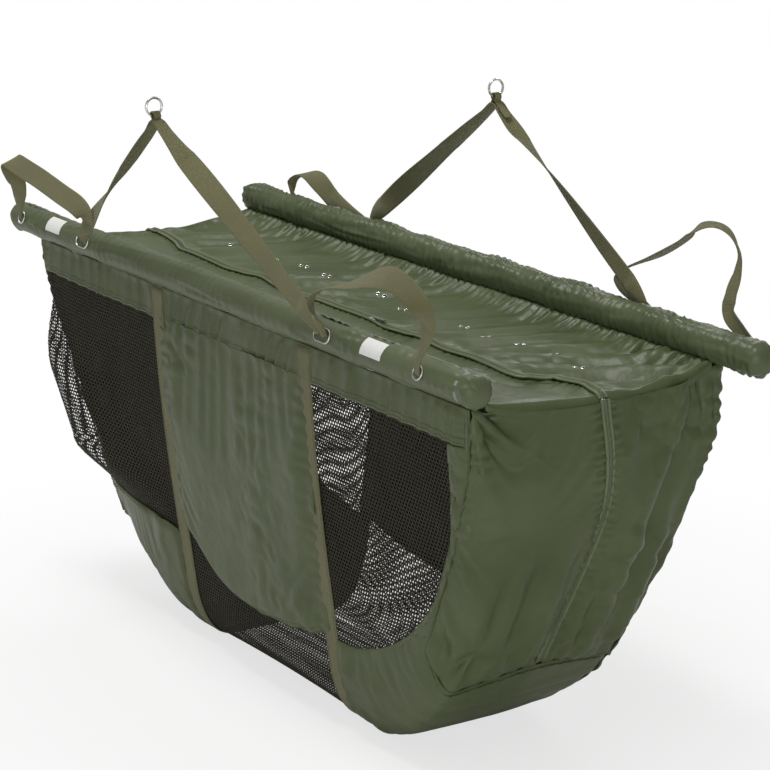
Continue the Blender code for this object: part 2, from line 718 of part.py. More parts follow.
def make_lifting_strap(side, name, lean, mats, parts):
    """The webbing triangle, its sewn tab and the steel ring that it carries."""
    left = STRAP_FOOT_LEFT_X
    right = STRAP_FOOT_RIGHT_X
    flat = math.pi / 2
    rise_to = STRAP_RISE
    leg = [(0.0, 0.0, FOOT_WIDTH, 1.0), (0.01, 0.07, FOOT_WIDTH, 1.0), (0.12, 0.2, WEBBING_WIDTH, 0.9),
           (0.5, 0.53, WEBBING_WIDTH, 0.6), (0.8, 0.8, WEBBING_WIDTH * 0.8, 0.12),
           (0.9, 0.9, TAB_WIDTH * 1.4, 0.0), (0.96, 0.96, TAB_WIDTH * 1.2, 0.0)]
    points = [(left + along * (APEX_X - left), up * rise_to, width, turn * flat)
              for along, up, width, turn in leg]
    points.append((APEX_X, rise_to, TAB_WIDTH * 1.2, 0.0))
    points += [(right + along * (APEX_X - right), up * rise_to, width, turn * flat)
               for along, up, width, turn in leg[::-1]]
    strap = ribbon(f"{name}_lifting_strap", leaning(points, side, lean), WEBBING, mats["webbing"], parts)
    foot = turned_half(foot_line(), side)
    put_origin(strap, foot)

    thin = WEBBING * TAB_SHARE
    clear = (WEBBING + thin) / 2 + GAP
    eye = rise_to + clear + TAB_EYE + thin
    run = TAB_EYE + thin / 2
    route = smooth_route(points, 3)
    left_leg = []
    for reach in (1.0, 0.6, 0.3):
        x = APEX_X - reach * TAB_LEG
        left_leg.append((x, height_at(route, x) + 1.3 * clear, TAB_WIDTH, 0.0))
    right_leg = []
    for reach in (0.3, 0.6, 1.0):
        x = APEX_X + reach * TAB_LEG
        right_leg.append((x, height_at(route, x) + 1.3 * clear, TAB_WIDTH, 0.0))
    loop = []
    for k in range(9):
        angle = math.radians(-145 + 290 * k / 8)
        loop.append((APEX_X + run * math.sin(angle), eye + run * math.cos(angle), TAB_WIDTH, 0.0))
    tab = left_leg + loop + right_leg
    tab_piece = ribbon(f"{name}_ring_tab", leaning(tab, side, lean, 1), thin, mats["webbing"], parts)
    put_origin(tab_piece, foot)

    bpy.ops.mesh.primitive_torus_add(major_segments=24, minor_segments=8, major_radius=RING_RADIUS,
                                     minor_radius=RING_WIRE)
    ring = bpy.context.object
    ring.name = f"{name}_ring"
    for owner in list(ring.users_collection):
        owner.objects.unlink(ring)
    parts.objects.link(ring)
    ring.data.transform(Matrix.Translation((0, 0, RING_RADIUS)) @ Matrix.Rotation(math.pi / 2, 4, "Y"))
    ring.data.materials.append(mats["metal"])
    ring.data.shade_smooth()
    x, y, z = leaning([(APEX_X, eye, 0, 0), (APEX_X, eye + 0.01, 0, 0)], side, lean, 1)[0][:3]
    ring.matrix_world = Matrix.Translation((x, y, z)) @ Matrix.Rotation(side * lean, 4, "X")


def make_handles(side, name, mats, parts):
    """The two carrying loops of one bar: a slack one at the tail and a rounder one at the flush end."""
    flat = math.pi / 2
    tail = HANDLE_TAIL_X
    inner = STRAP_FOOT_LEFT_X - FOOT_PAIR_SPACING
    slack = [
        (tail, 0.0, FOOT_WIDTH, flat), (tail - 0.002, 0.018, FOOT_WIDTH, flat),
        (tail - 0.022, 0.045, WEBBING_WIDTH, flat * 0.8), (tail - 0.040, 0.075, WEBBING_WIDTH, flat * 0.5),
        (tail - 0.010, 0.086, WEBBING_WIDTH, flat * 0.4), (tail + 0.070, 0.066, WEBBING_WIDTH, flat * 0.6),
        (inner - 0.040, 0.050, WEBBING_WIDTH, flat * 0.6), (inner - 0.006, 0.036, WEBBING_WIDTH * 0.8, flat * 0.4),
        (inner + 0.001, 0.016, FOOT_WIDTH, flat), (inner, 0.0, FOOT_WIDTH, flat),
    ]
    flush = HANDLE_FLUSH_X
    start = STRAP_FOOT_RIGHT_X + FOOT_PAIR_SPACING
    round_loop = [
        (start, 0.0, FOOT_WIDTH, flat), (start, 0.018, FOOT_WIDTH, flat),
        (start + 0.004, 0.042, WEBBING_WIDTH * 0.8, flat * 0.5), (start + 0.028, 0.066, WEBBING_WIDTH, flat * 0.2),
        (start + 0.080, 0.088, WEBBING_WIDTH, 0.0), (start + 0.140, 0.108, WEBBING_WIDTH, 0.0),
        (flush + 0.006, 0.094, WEBBING_WIDTH, 0.0), (flush + 0.018, 0.062, WEBBING_WIDTH * 0.8, flat * 0.2),
        (flush + 0.004, 0.022, FOOT_WIDTH, flat * 0.9), (flush, 0.0, FOOT_WIDTH, flat),
    ]
    words = ("left", "right") if side > 0 else ("right", "left")
    for points, word in ((slack, words[0]), (round_loop, words[1])):
        made = ribbon(f"{name}_{word}_handle", leaning(points, side, HANDLE_LEAN), WEBBING,
                      mats["webbing"], parts)
        put_origin(made, turned_half(foot_line(), side))


def make_labels(mats, parts):
    """Two bare white patches sewn round the near sleeve."""
    for x0, word in ((LABEL_TAIL_X, "left"), (LABEL_FLUSH_X, "right")):

        def place(u, angle, x0=x0):
            radius = SLEEVE_OUTER + GAP
            return Vector((x0 + u * LABEL_LENGTH, -BAR_Y - radius * math.sin(angle),
                           BAR_HEIGHT + radius * math.cos(angle)))

        cloth_sheet(f"{word}_label", [-0.5, 0.5], steps(8, LABEL_TO, LABEL_FROM), place, mats["label"], parts,
                    LABEL_THICKNESS)


def build():
    clear_scene()
    parts = new_collection("recovery_sling")
    cutters = new_collection("cutters")
    mats = {
        "nylon": finish("green nylon", (0.085, 0.115, 0.060), 0.55),
        "mesh": finish("dark mesh", (0.035, 0.030, 0.024), 0.80),
        "webbing": finish("olive webbing", (0.150, 0.145, 0.070), 0.75),
        "foam": finish("grey foam", (0.35, 0.35, 0.34), 0.90),
        "rod": finish("white plastic rod", (0.70, 0.70, 0.68), 0.50),
        "zip": finish("green zip coil", (0.080, 0.105, 0.055), 0.50),
        "metal": finish("polished steel", (0.75, 0.75, 0.73), 0.25, 1.0),
        "label": finish("white label", (0.80, 0.80, 0.80), 0.60),
    }
    for side, name, lean in ((1, "near", NEAR_STRAP_LEAN), (-1, "far", FAR_STRAP_LEAN)):
        make_bar(side, name, mats, parts, cutters)
        make_walls(side, name, mats, parts, cutters)
        make_lifting_strap(side, name, lean, mats, parts)
        make_handles(side, name, mats, parts)
    make_ends(mats, parts)
    make_cover(mats, parts)
    make_slider(mats, parts)
    make_labels(mats, parts)


build()
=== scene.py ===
import math

import bmesh
import bpy
from mathutils import Matrix, Vector, noise
from mathutils.bvhtree import BVHTree


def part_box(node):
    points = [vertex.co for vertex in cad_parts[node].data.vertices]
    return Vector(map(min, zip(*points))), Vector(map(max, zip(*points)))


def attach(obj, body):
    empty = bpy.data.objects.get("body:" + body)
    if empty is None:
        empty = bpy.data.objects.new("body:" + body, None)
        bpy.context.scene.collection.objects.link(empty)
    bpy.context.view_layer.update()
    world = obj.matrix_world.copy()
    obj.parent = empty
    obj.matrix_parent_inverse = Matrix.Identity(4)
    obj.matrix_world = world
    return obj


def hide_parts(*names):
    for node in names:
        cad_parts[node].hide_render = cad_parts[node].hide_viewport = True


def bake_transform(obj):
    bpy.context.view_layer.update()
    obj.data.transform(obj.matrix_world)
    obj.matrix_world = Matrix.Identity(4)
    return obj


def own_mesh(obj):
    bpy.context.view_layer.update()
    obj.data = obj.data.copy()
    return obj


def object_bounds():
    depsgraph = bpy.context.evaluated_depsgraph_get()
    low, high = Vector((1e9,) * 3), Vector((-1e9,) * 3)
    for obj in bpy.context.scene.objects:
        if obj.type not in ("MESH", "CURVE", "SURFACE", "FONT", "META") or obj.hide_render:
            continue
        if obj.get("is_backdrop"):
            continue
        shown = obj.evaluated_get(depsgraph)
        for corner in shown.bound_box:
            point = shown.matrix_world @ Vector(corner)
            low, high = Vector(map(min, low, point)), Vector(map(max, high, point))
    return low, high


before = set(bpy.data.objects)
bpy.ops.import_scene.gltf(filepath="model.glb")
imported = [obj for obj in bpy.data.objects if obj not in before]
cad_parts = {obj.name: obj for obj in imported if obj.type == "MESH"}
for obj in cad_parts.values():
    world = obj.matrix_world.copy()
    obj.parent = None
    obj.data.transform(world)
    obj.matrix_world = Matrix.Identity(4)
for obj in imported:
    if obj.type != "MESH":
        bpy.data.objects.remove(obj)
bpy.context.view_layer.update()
print("recovery sling: frame loaded")

sleeveLow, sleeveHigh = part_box("near_sleeve")
barY = -(sleeveLow.y + sleeveHigh.y) / 2
barZ = (sleeveLow.z + sleeveHigh.z) / 2
sleeveRadius = (sleeveHigh.z - sleeveLow.z) / 2
tailX = sleeveLow.x
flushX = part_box("near_sleeve_end")[1].x

# The bag hangs as a boat: a flat floor, a rounded chine, leaning walls and raised ends
bag = {
    "topOutset": 0.004, "seamGap": 0.0005, "floorZ": 0.0033,
    "floorHalfWidth": 0.070, "floorSpread": 0.050, "floorSpreadX": 0.380,
    "chineY": 0.145, "chineZ": 0.100, "kneeZ": 0.400,
    "flatHalfLength": 0.208, "endRise": 0.140, "risePower": 1.9,
    "halfLength": 0.545, "cornerX": 0.400, "keelX": 0.440, "sidePower": 3.2, "endBow": 0.012,
    "bandHeight": 0.046, "strapX": 0.190, "cloth": 0.0012,
    "belly": 0.062, "bellyStation": 2.0, "bellySpread": 0.42,
}
cover = {"edgeInset": 0.014, "sag": 0.0143, "rimGap": 0.0009}
zipLine = {"topY": -0.034, "endY": -0.003, "lowY": -0.004, "midY": 0.012, "turnX": 0.400, "solidY": -0.080}

wallTopY = barY + bag["topOutset"]
wallTopZ = barZ - sleeveRadius - bag["seamGap"]
coverY = barY - cover["edgeInset"]
coverEdgeZ = barZ - math.sqrt((sleeveRadius + bag["seamGap"]) ** 2 - (coverY - barY) ** 2) - bag["cloth"]


def clamp(value, low=0.0, high=1.0):
    return min(high, max(low, value))


def smoothStep(value, low=0.0, high=1.0):
    share = clamp((value - low) / (high - low))
    return share * share * (3 - 2 * share)


def mix(first, second, share):
    return first + (second - first) * share


def fade(distance, reach):
    # 1 at no distance, dying away past reach
    return math.exp(-(distance / reach) ** 2)


def halve(low, high, isBelow, rounds=24):
    # the value between low and high at which isBelow stops holding
    for _ in range(rounds):
        middle = (low + high) / 2
        low, high = (middle, high) if isBelow(middle) else (low, middle)
    return (low + high) / 2


def steps(count, low=0.0, high=1.0):
    return [low + (high - low) * n / count for n in range(count + 1)]


def grain(x, y, seed=0.0):
    return noise.noise(Vector((x, y, seed)))


def ripple(cycles, drift, seed):
    # an irregular wave: its crests wander by a share of a cycle
    return math.sin(math.tau * (cycles + 0.45 * grain(cycles * 0.6, drift, seed)))


def crease(value):
    # a rounded ridge with a wide valley, from a wave of -1 to 1
    return 1 - 2 * abs(value) ** 0.8


def gathers(along, drift, seed, away, reach):
    # short folds square to a seam, dying away from it
    return ripple(along, drift, seed) * fade(away, reach)


def facets(a, b, seed):
    # flat patches meeting in sharp creases, here and there
    height = abs(grain(a * 17, b * 17, seed)) + 0.5 * abs(grain(a * 37, b * 37, seed + 2))
    return height * smoothStep(grain(a * 6, b * 6, seed + 5), -0.15, 0.25)


def turnedHalf(point, side):
    return Vector((side * point[0], side * point[1], point[2]))


# Surface of the wrapped cloth

def riseAt(x):
    past = max(0.0, abs(x) - bag["flatHalfLength"]) / (bag["keelX"] - bag["flatHalfLength"])
    return bag["endRise"] * past ** bag["risePower"]


def section(x, t):
    # distance out from the keel, and height: t is 0 at the keel, 1 at the floor's edge, 2 at the chine
    # and 3 on top
    base = bag["floorHalfWidth"] + bag["floorSpread"] * min(1.0, abs(x) / bag["floorSpreadX"]) ** 2
    top = wallTopZ - bag["floorZ"]
    slope = (wallTopY - bag["chineY"]) / (bag["kneeZ"] - bag["chineZ"])
    if t <= 1:
        y, z = base * t, 0.0
    elif t <= 2:
        u = t - 1
        foot = bag["chineY"] - slope * bag["chineZ"]
        y = (1 - u) ** 2 * base + 2 * u * (1 - u) * foot + u * u * bag["chineY"]
        z = u * u * bag["chineZ"]
    else:
        u = t - 2
        y = (1 - u) ** 2 * bag["chineY"] + (1 - (1 - u) ** 2) * wallTopY
        z = (1 - u) ** 2 * bag["chineZ"] + 2 * u * (1 - u) * bag["kneeZ"] + u * u * top
    lifted = riseAt(x)
    return y, bag["floorZ"] + lifted + z * (1 - lifted / top)


def wallPoint(x, t, lift=0.0):
    distance = abs(t)
    y, z = section(x, distance)
    if lift:
        low = section(x, max(0.0, distance - 0.01))
        high = section(x, min(3.0, distance + 0.01))
        along = Vector((0, high[0] - low[0], high[1] - low[1])).normalized()
        y += along.z * lift
        z -= along.y * lift
    return Vector((x, -y if t >= 0 else y, z))


def endX(t, full=False):
    # the end seam's distance from the middle: two of the four corners belly out
    t = abs(t)
    belly = bag["belly"] * fade(t - bag["bellyStation"], bag["bellySpread"]) if full else 0.0
    if t <= 2:
        return bag["keelX"] - (bag["keelX"] - bag["cornerX"]) * (t / 2) ** 1.5 + belly
    return bag["cornerX"] + (bag["halfLength"] - bag["cornerX"]) * (1 - (3 - t) ** bag["sidePower"]) + belly


def stationAtHeight(x, height):
    return halve(1.0, 3.0, lambda t: section(x, t)[1] < height)


def seamStationAtHeight(height, full):
    # where the end seam passes a height
    return halve(1.0, 3.0, lambda t: section(endX(t, full), t)[1] < height)


def coverZ(y):
    return coverEdgeZ - cover["sag"] * (1 - (y / coverY) ** 2)


def coverEndX(y):
    return bag["halfLength"] + bag["endBow"] * (1 - (y / wallTopY) ** 2)


def endRim(s):
    y = s * wallTopY
    return Vector((coverEndX(y), y, min(coverZ(y) - cover["rimGap"], wallTopZ)))


def seamPoint(t, far, hand):
    point = wallPoint(endX(t, far == (hand > 0)), t)
    return Vector((point.x, -point.y, point.z)) if far else point


def endPoint(s, v, hand):
    # an end panel, as if at +X, from the near seam (s -1) to the far seam (s 1) and from the bottom up (v)
    across = (s + 1) / 2
    low = seamPoint(2 * abs(s), s > 0, hand)
    high = endRim(s)
    sides = seamPoint(2 + v, False, hand) * (1 - across) + seamPoint(2 + v, True, hand) * across
    corners = ((1 - v) * (seamPoint(2, False, hand) * (1 - across) + seamPoint(2, True, hand) * across)
               + v * (endRim(-1) * (1 - across) + endRim(1) * across))
    return low * (1 - v) + high * v + sides - corners


def endShare(v, y, hand):
    return halve(-1.0, 1.0, lambda s: endPoint(s, v, hand).y < y, 22)


def zipEndY(v):
    lower = zipLine["lowY"] + (zipLine["midY"] - zipLine["lowY"]) * smoothStep(v / 0.4)
    return lower + (zipLine["endY"] - zipLine["midY"]) * smoothStep((v - 0.4) / 0.6)


# The sewn-in zip wanders along the cover, and comes back to the slider's line where the slider can stand
zipWander = [(-0.54, 0.004), (-0.457, 0.012), (-0.39, 0.002), (-0.314, -0.001), (-0.262, -0.002),
             (-0.22, 0.003), (-0.187, 0.010), (-0.11, -0.002), (-0.058, -0.010), (0.007, 0.0),
             (0.118, 0.0), (0.154, -0.004), (0.192, 0.003), (0.21, 0.009), (0.299, -0.006), (0.359, 0.0),
             (0.39, 0.0), (0.441, -0.004), (0.475, 0.018), (0.51, 0.015), (0.557, 0.0)]


def zipTopY(x):
    turn = smoothStep((abs(x) - zipLine["turnX"]) / (coverEndX(zipLine["endY"]) - zipLine["turnX"]))
    y = zipLine["topY"] + (zipLine["endY"] - zipLine["topY"]) * turn
    for (x0, y0), (x1, y1) in zip(zipWander, zipWander[1:]):
        if x0 <= x <= x1:
            return y + mix(y0, y1, smoothStep(x, x0, x1))
    return y


# Folds and crinkles of the cloth

walls = {"bandRipple": 0.0032, "bandPitch": 0.030, "bandLean": 0.30, "bandDepth": 0.030, "topRoom": 0.012,
         "sway": 0.0040, "crinkle": 0.0010, "crinkleSize": 1 / 42, "lowZ": (0.02, 0.14),
         "strapPinch": 0.026, "seamRoom": 0.02, "seamPinch": 0.022, "pucker": 1.5, "puckerPitch": 0.021}


def wallFold(x, t, seed):
    # height of the wall's wrinkles over the smooth wall, with t at least 1
    _, z = section(x, abs(t))
    depth = wallTopZ - z
    toSeam = endX(t, x < 0) - abs(x)
    held = 1 - fade(abs(abs(x) - bag["strapX"]), walls["strapPinch"])
    held *= smoothStep(toSeam / walls["seamRoom"]) * smoothStep(depth, 0.0, walls["topRoom"])
    lean = (x + walls["bandLean"] * depth) / walls["bandPitch"]
    band = crease(ripple(lean / 2, depth * 9, seed)) * (0.6 + 0.4 * grain(x * 11, 3.0, seed))
    band *= fade(max(0.0, depth - walls["bandDepth"]), walls["bandDepth"])
    sway = grain(x * 7, z * 5, seed + 5) + 0.5 * grain(x * 15, z * 11, seed + 9)
    pucker = crease(ripple(z / walls["puckerPitch"], x * 20, seed + 3)) * fade(toSeam, walls["seamPinch"])
    fine = crease(grain(x / walls["crinkleSize"], z / walls["crinkleSize"], seed + 1))
    fine *= grain(x * 16, z * 16, seed + 2)
    return held * (walls["bandRipple"] * band + smoothStep(z, *walls["lowZ"])
                   * (walls["sway"] * sway + walls["crinkle"] * (fine + walls["pucker"] * pucker)))


def wallCloth(x, t, side, seed, lift=0.0):
    return turnedHalf(wallPoint(x, t, lift + (wallFold(x, t, seed) if abs(t) >= 1 and t > 0 else 0.0)), side)


folds = {"ridge": 0.0088, "ridgePitch": 0.064, "slant": 0.9, "ridgeRoom": 0.06, "sideRoom": 0.02,
         "endRoom": 0.03, "pouch": 0.004, "nearBulge": 0.008, "zipFold": 0.0018, "zipFoldPitch": 0.024,
         "zipFoldAt": 0.018, "zipFoldReach": 0.022, "zipFoldRoom": (0.003, 0.010)}


def topFold(x, y):
    # height of the folds of the cover and the near strip over their smooth sag
    fromNear = coverY + y
    toZip = y - zipTopY(x)
    held = smoothStep(coverY - y, 0.0, folds["sideRoom"]) * smoothStep(fromNear, 0.0, folds["sideRoom"])
    held *= smoothStep(coverEndX(y) - abs(x), 0.0, folds["endRoom"])
    along = x - folds["slant"] * y + 0.03 * grain(x * 4, y * 4, 4.0)
    ridge = ripple(along / folds["ridgePitch"], y * 4, 2.0) * (0.5 + 0.8 * grain(x * 5, y * 5, 8.0))
    ridge *= smoothStep(toZip, 0.0, folds["ridgeRoom"])
    flap = math.sin(math.tau * (toZip / folds["zipFoldPitch"] + 0.25 * grain(x * 6, 2.0, 1.0)))
    flap *= fade(abs(toZip) - folds["zipFoldAt"], folds["zipFoldReach"])
    flap *= smoothStep(abs(toZip), *folds["zipFoldRoom"])
    bulge = 0.0 if toZip > 0 else math.sin(math.pi * clamp(fromNear / (fromNear - toZip)))
    pouched = grain(x * 8, y * 8, 6.0)
    return held * (folds["ridge"] * ridge + folds["zipFold"] * flap + folds["pouch"] * pouched
                   + folds["nearBulge"] * bulge)


def topCloth(x, y, lift=0.0):
    return Vector((x, y, coverZ(y) + topFold(x, y) + lift))


gusset = {"fold": 0.013, "billow": 0.012, "halfWidth": 0.18, "seamRoom": 0.022, "rimRoom": 0.06,
          "zipRoom": (0.004, 0.018),
          "star": 0.012, "starReach": 0.13, "starRays": 5,
          "corner": 0.007, "cornerReach": 0.10, "cornerRays": 8, "cornerY": 0.135, "cornerDrop": 0.02,
          "farFoldY": 0.152, "farFoldLean": 0.42, "pleatPitch": 0.045}


def endFold(s, v, hand):
    # how far an end panel's cloth stands out of its smooth surface, in its broad folds
    seed = 20.0 + 7 * hand
    point = endPoint(s, v, hand)
    y, z = point.y, point.z
    depth = wallTopZ - z
    held = smoothStep((1 - abs(s)) * gusset["halfWidth"], 0.0, gusset["seamRoom"])
    held *= smoothStep(v, 0.0, gusset["rimRoom"]) * smoothStep(1 - v, 0.0, gusset["rimRoom"])
    toZip = y - zipEndY(v)
    away = Vector((y + wallTopY, depth))
    fan = math.atan2(away.y, away.x)
    star = crease(math.sin(fan * gusset["starRays"] + 0.9 * grain(fan * 3, 0.0, seed)))
    star *= fade(away.length, gusset["starReach"])
    away = Vector((y + gusset["cornerY"], z - bag["endRise"] + gusset["cornerDrop"]))
    fan = math.atan2(away.y, away.x)
    corner = crease(math.sin(fan * gusset["cornerRays"] + grain(fan * 2, 4.0, seed)))
    corner *= fade(away.length, gusset["cornerReach"])
    farFold = 0.0
    if toZip > 0:
        slant = y - gusset["farFoldY"] + gusset["farFoldLean"] * depth * (1 - 0.55 * depth / 0.4)
        farFold = (0.8 * fade(slant + 0.034, 0.020) - fade(slant, 0.016)) * smoothStep(v, 0.08, 0.3)
    pleat = ripple(y / gusset["pleatPitch"], z * 2, seed) * smoothStep(0.45 - v, 0.0, 0.3) * 0.4
    fold = 0.4 * grain(y * 9, z * 6, seed + 1) + farFold + pleat
    fold *= smoothStep(abs(toZip), *gusset["zipRoom"])
    return held * (gusset["fold"] * fold + gusset["star"] * star + gusset["corner"] * corner
                   + gusset["billow"] * (1 - abs(s)) * v * (1 - v) * 2)


def endNormal(s, v, hand):
    acrossRun = endPoint(min(s + 0.02, 1.0), v, hand) - endPoint(max(s - 0.02, -1.0), v, hand)
    upRun = endPoint(s, min(v + 0.02, 1.0), hand) - endPoint(s, max(v - 0.02, 0.0), hand)
    return acrossRun.cross(upRun).normalized()


def endCloth(s, v, hand, lift=0.0):
    point = endPoint(s, v, hand) + endNormal(s, v, hand) * (endFold(s, v, hand) + lift)
    return Vector((hand * point.x, point.y, point.z))


# Depth below the top seam, measured along the cloth, for patterns that keep their true size

depthTables = {}


def depthTable(column):
    if column not in depthTables:
        x = column * 0.01
        table, depth, last = [], 0.0, None
        for t in steps(160, 3.0, -1.0):
            y, z = section(x, abs(t))
            point = Vector((y if t >= 0 else -y, z))
            depth += (point - last).length if last else 0.0
            table.append((depth, t))
            last = point
        depthTables[column] = table
    return depthTables[column]


def stationInTable(table, depth):
    low, high = 0, len(table) - 1
    while high - low > 1:
        middle = (low + high) // 2
        if table[middle][0] < depth:
            low = middle
        else:
            high = middle
    share = clamp((depth - table[low][0]) / max(1e-9, table[high][0] - table[low][0]))
    return mix(table[low][1], table[high][1], share)


def stationAtDepth(x, depth):
    column = abs(x) / 0.01
    lower = int(column)
    return mix(stationInTable(depthTable(lower), depth), stationInTable(depthTable(lower + 1), depth),
               column - lower)


def depthAtStation(x, t):
    table = depthTable(round(abs(x) / 0.01))
    return min(table, key=lambda row: abs(row[1] - t))[0]


# Materials

def addNode(tree, kind, **settings):
    made = tree.nodes.new(kind)
    for name, value in settings.items():
        setattr(made, name, value)
    return made


def feed(tree, socket, value):
    # a socket takes a number, a colour or another node's output
    if isinstance(value, (int, float)):
        socket.default_value = value
    elif isinstance(value, tuple):
        socket.default_value = (*value, 1.0)
    else:
        tree.links.new(value, socket)


def group(name, inputs, outputs):
    tree = bpy.data.node_groups.new(name, "ShaderNodeTree")
    for label, kind, value in inputs:
        socket = tree.interface.new_socket(label, in_out="INPUT", socket_type=kind)
        if value is not None:
            socket.default_value = value
    for label, kind in outputs:
        tree.interface.new_socket(label, in_out="OUTPUT", socket_type=kind)
    return tree, addNode(tree, "NodeGroupInput"), addNode(tree, "NodeGroupOutput")


def noiseNode(tree, vector, scale, detail=3.0, roughness=0.5):
    made = addNode(tree, "ShaderNodeTexNoise")
    for label, value in (("Detail", detail), ("Roughness", roughness), ("Scale", scale), ("Vector", vector)):
        feed(tree, made.inputs[label], value)
    return made


def mathNode(tree, operation, first, second=None, third=None):
    made = addNode(tree, "ShaderNodeMath", operation=operation)
    for socket, value in zip(made.inputs, (first, second, third)):
        if value is not None:
            feed(tree, socket, value)
    return made.outputs[0]


def mixColours(tree, blend, share, first, second):
    made = addNode(tree, "ShaderNodeMix", data_type="RGBA", blend_type=blend)
    for n, value in ((0, share), (6, first), (7, second)):
        feed(tree, made.inputs[n], value)
    return made.outputs[2]


def crumpleGroup():
    # creases of crumpled coated cloth that come and go, as a height and a mask of their crests
    tree, source, result = group("crumple", [
        ("Vector", "NodeSocketVector", None), ("Scale", "NodeSocketFloat", 20.0)],
        [("Height", "NodeSocketFloat"), ("Ridges", "NodeSocketFloat")])
    creases = noiseNode(tree, source.outputs["Vector"], source.outputs["Scale"], 2.5, 0.45)
    creases.noise_type = "RIDGED_MULTIFRACTAL"
    creases.inputs["Distortion"].default_value = 0.5
    places = noiseNode(tree, source.outputs["Vector"], 7.0, 2.0)
    fade = addNode(tree, "ShaderNodeMapRange", interpolation_type="SMOOTHSTEP")
    fade.inputs["From Min"].default_value = 0.38
    fade.inputs["From Max"].default_value = 0.66
    tree.links.new(places.outputs[0], fade.inputs["Value"])
    ridges = mathNode(tree, "MULTIPLY", creases.outputs[0], fade.outputs[0])
    soft = noiseNode(tree, source.outputs["Vector"], 34.0, 3.0)
    tree.links.new(mathNode(tree, "MULTIPLY_ADD", soft.outputs[0], 0.5, ridges), result.inputs["Height"])
    tree.links.new(ridges, result.inputs["Ridges"])
    return tree


def weaveGroup():
    # plain weave: two crossed sets of threads, as a height
    tree, source, result = group("weave", [
        ("Vector", "NodeSocketVector", None), ("Threads", "NodeSocketFloat", 1200.0)],
        [("Height", "NodeSocketFloat")])
    split = addNode(tree, "ShaderNodeSeparateXYZ")
    tree.links.new(source.outputs["Vector"], split.inputs[0])
    waves = []
    for axis in ("X", "Y", "Z"):
        turned = mathNode(tree, "MULTIPLY", split.outputs[axis], source.outputs["Threads"])
        waves.append(mathNode(tree, "SINE", turned))
    product = mathNode(tree, "MULTIPLY", mathNode(tree, "ADD", waves[0], waves[1]), waves[2])
    tree.links.new(product, result.inputs["Height"])
    return tree


def ribGroup():
    # webbing: ribs across the strap that waver from lane to lane, in the metres of its own UV map
    tree, source, result = group("webbing ribs", [
        ("UV", "NodeSocketVector", None), ("Pitch", "NodeSocketFloat", 0.0016)],
        [("Height", "NodeSocketFloat"), ("PaintedRibShade", "NodeSocketFloat")])
    split = addNode(tree, "ShaderNodeSeparateXYZ")
    tree.links.new(source.outputs["UV"], split.inputs[0])
    wave = mathNode(tree, "DIVIDE", split.outputs["X"], source.outputs["Pitch"])
    lane = mathNode(tree, "MULTIPLY", split.outputs["Y"], math.tau / 0.0044)
    shift = mathNode(tree, "MULTIPLY", mathNode(tree, "SINE", lane), 0.16)
    turned = mathNode(tree, "MULTIPLY", mathNode(tree, "ADD", wave, shift), math.tau)
    rib = mathNode(tree, "SINE", turned)
    fleck = noiseNode(tree, source.outputs["UV"], 420.0, 2.0)
    height = mathNode(tree, "MULTIPLY_ADD", fleck.outputs[0], 0.5, rib)
    tree.links.new(height, result.inputs["Height"])
    # the shade output is lighter on the rib crests and darker in the grooves between them: a painted shade
    shade = mathNode(tree, "MULTIPLY_ADD", rib, 0.5, 0.5)
    tree.links.new(shade, result.inputs["PaintedRibShade"])
    return tree


groups = {"crumple": crumpleGroup(), "weave": weaveGroup(), "ribs": ribGroup()}


def newMaterial(name):
    made = bpy.data.materials.new(name)
    made.use_nodes = True
    tree = made.node_tree
    return made, tree, addNode(tree, "ShaderNodeTexCoord").outputs["Object"]


def finishMaterial(made, **values):
    # sets the surface's own sockets: Base_Color stands for Base Color, and so on
    for label, value in values.items():
        feed(made.node_tree, made.node_tree.nodes["Principled BSDF"].inputs[label.replace("_", " ")], value)
    return made


def placeGroup(tree, name, vector, **values):
    made = addNode(tree, "ShaderNodeGroup", node_tree=groups[name])
    feed(tree, made.inputs[0], vector)
    for label, value in values.items():
        feed(tree, made.inputs[label], value)
    return made


def bump(tree, height, distance, strength=1.0, before=None):
    made = addNode(tree, "ShaderNodeBump")
    values = {"Distance": distance, "Strength": strength, "Height": height, "Normal": before}
    for label, value in values.items():
        if value is not None:
            feed(tree, made.inputs[label], value)
    return made.outputs["Normal"]


nylon = {"creaseScale": 16.0, "threads": 5200.0, "patchScale": 9.0, "crestHighlightShare": 0.35, "weave": 0.00004,
         "gloss": (0.22, 0.27), "specular": 0.27}


def nylonMaterial(name, dark, light, crumple=0.0040):
    made, tree, place = newMaterial(name)
    creases = placeGroup(tree, "crumple", place, Scale=nylon["creaseScale"])
    threads = placeGroup(tree, "weave", place, Threads=nylon["threads"])
    patch = noiseNode(tree, place, nylon["patchScale"], 3.0)
    cloudy = mathNode(tree, "MULTIPLY_ADD", patch.outputs[0], 1.6, -0.3)
    # the base colour is lighter on the crests of the creases, a painted highlight, over a cloudy tone that
    # varies at random
    share = mathNode(tree, "MULTIPLY_ADD", creases.outputs["Ridges"], nylon["crestHighlightShare"], cloudy)
    first = bump(tree, creases.outputs["Height"], crumple)
    return finishMaterial(
        made, Base_Color=mixColours(tree, "MIX", share, dark, light),
        Roughness=mathNode(tree, "MULTIPLY_ADD", patch.outputs[0], *nylon["gloss"]),
        Normal=bump(tree, threads.outputs["Height"], nylon["weave"], 0.5, first),
        Specular_IOR_Level=nylon["specular"])


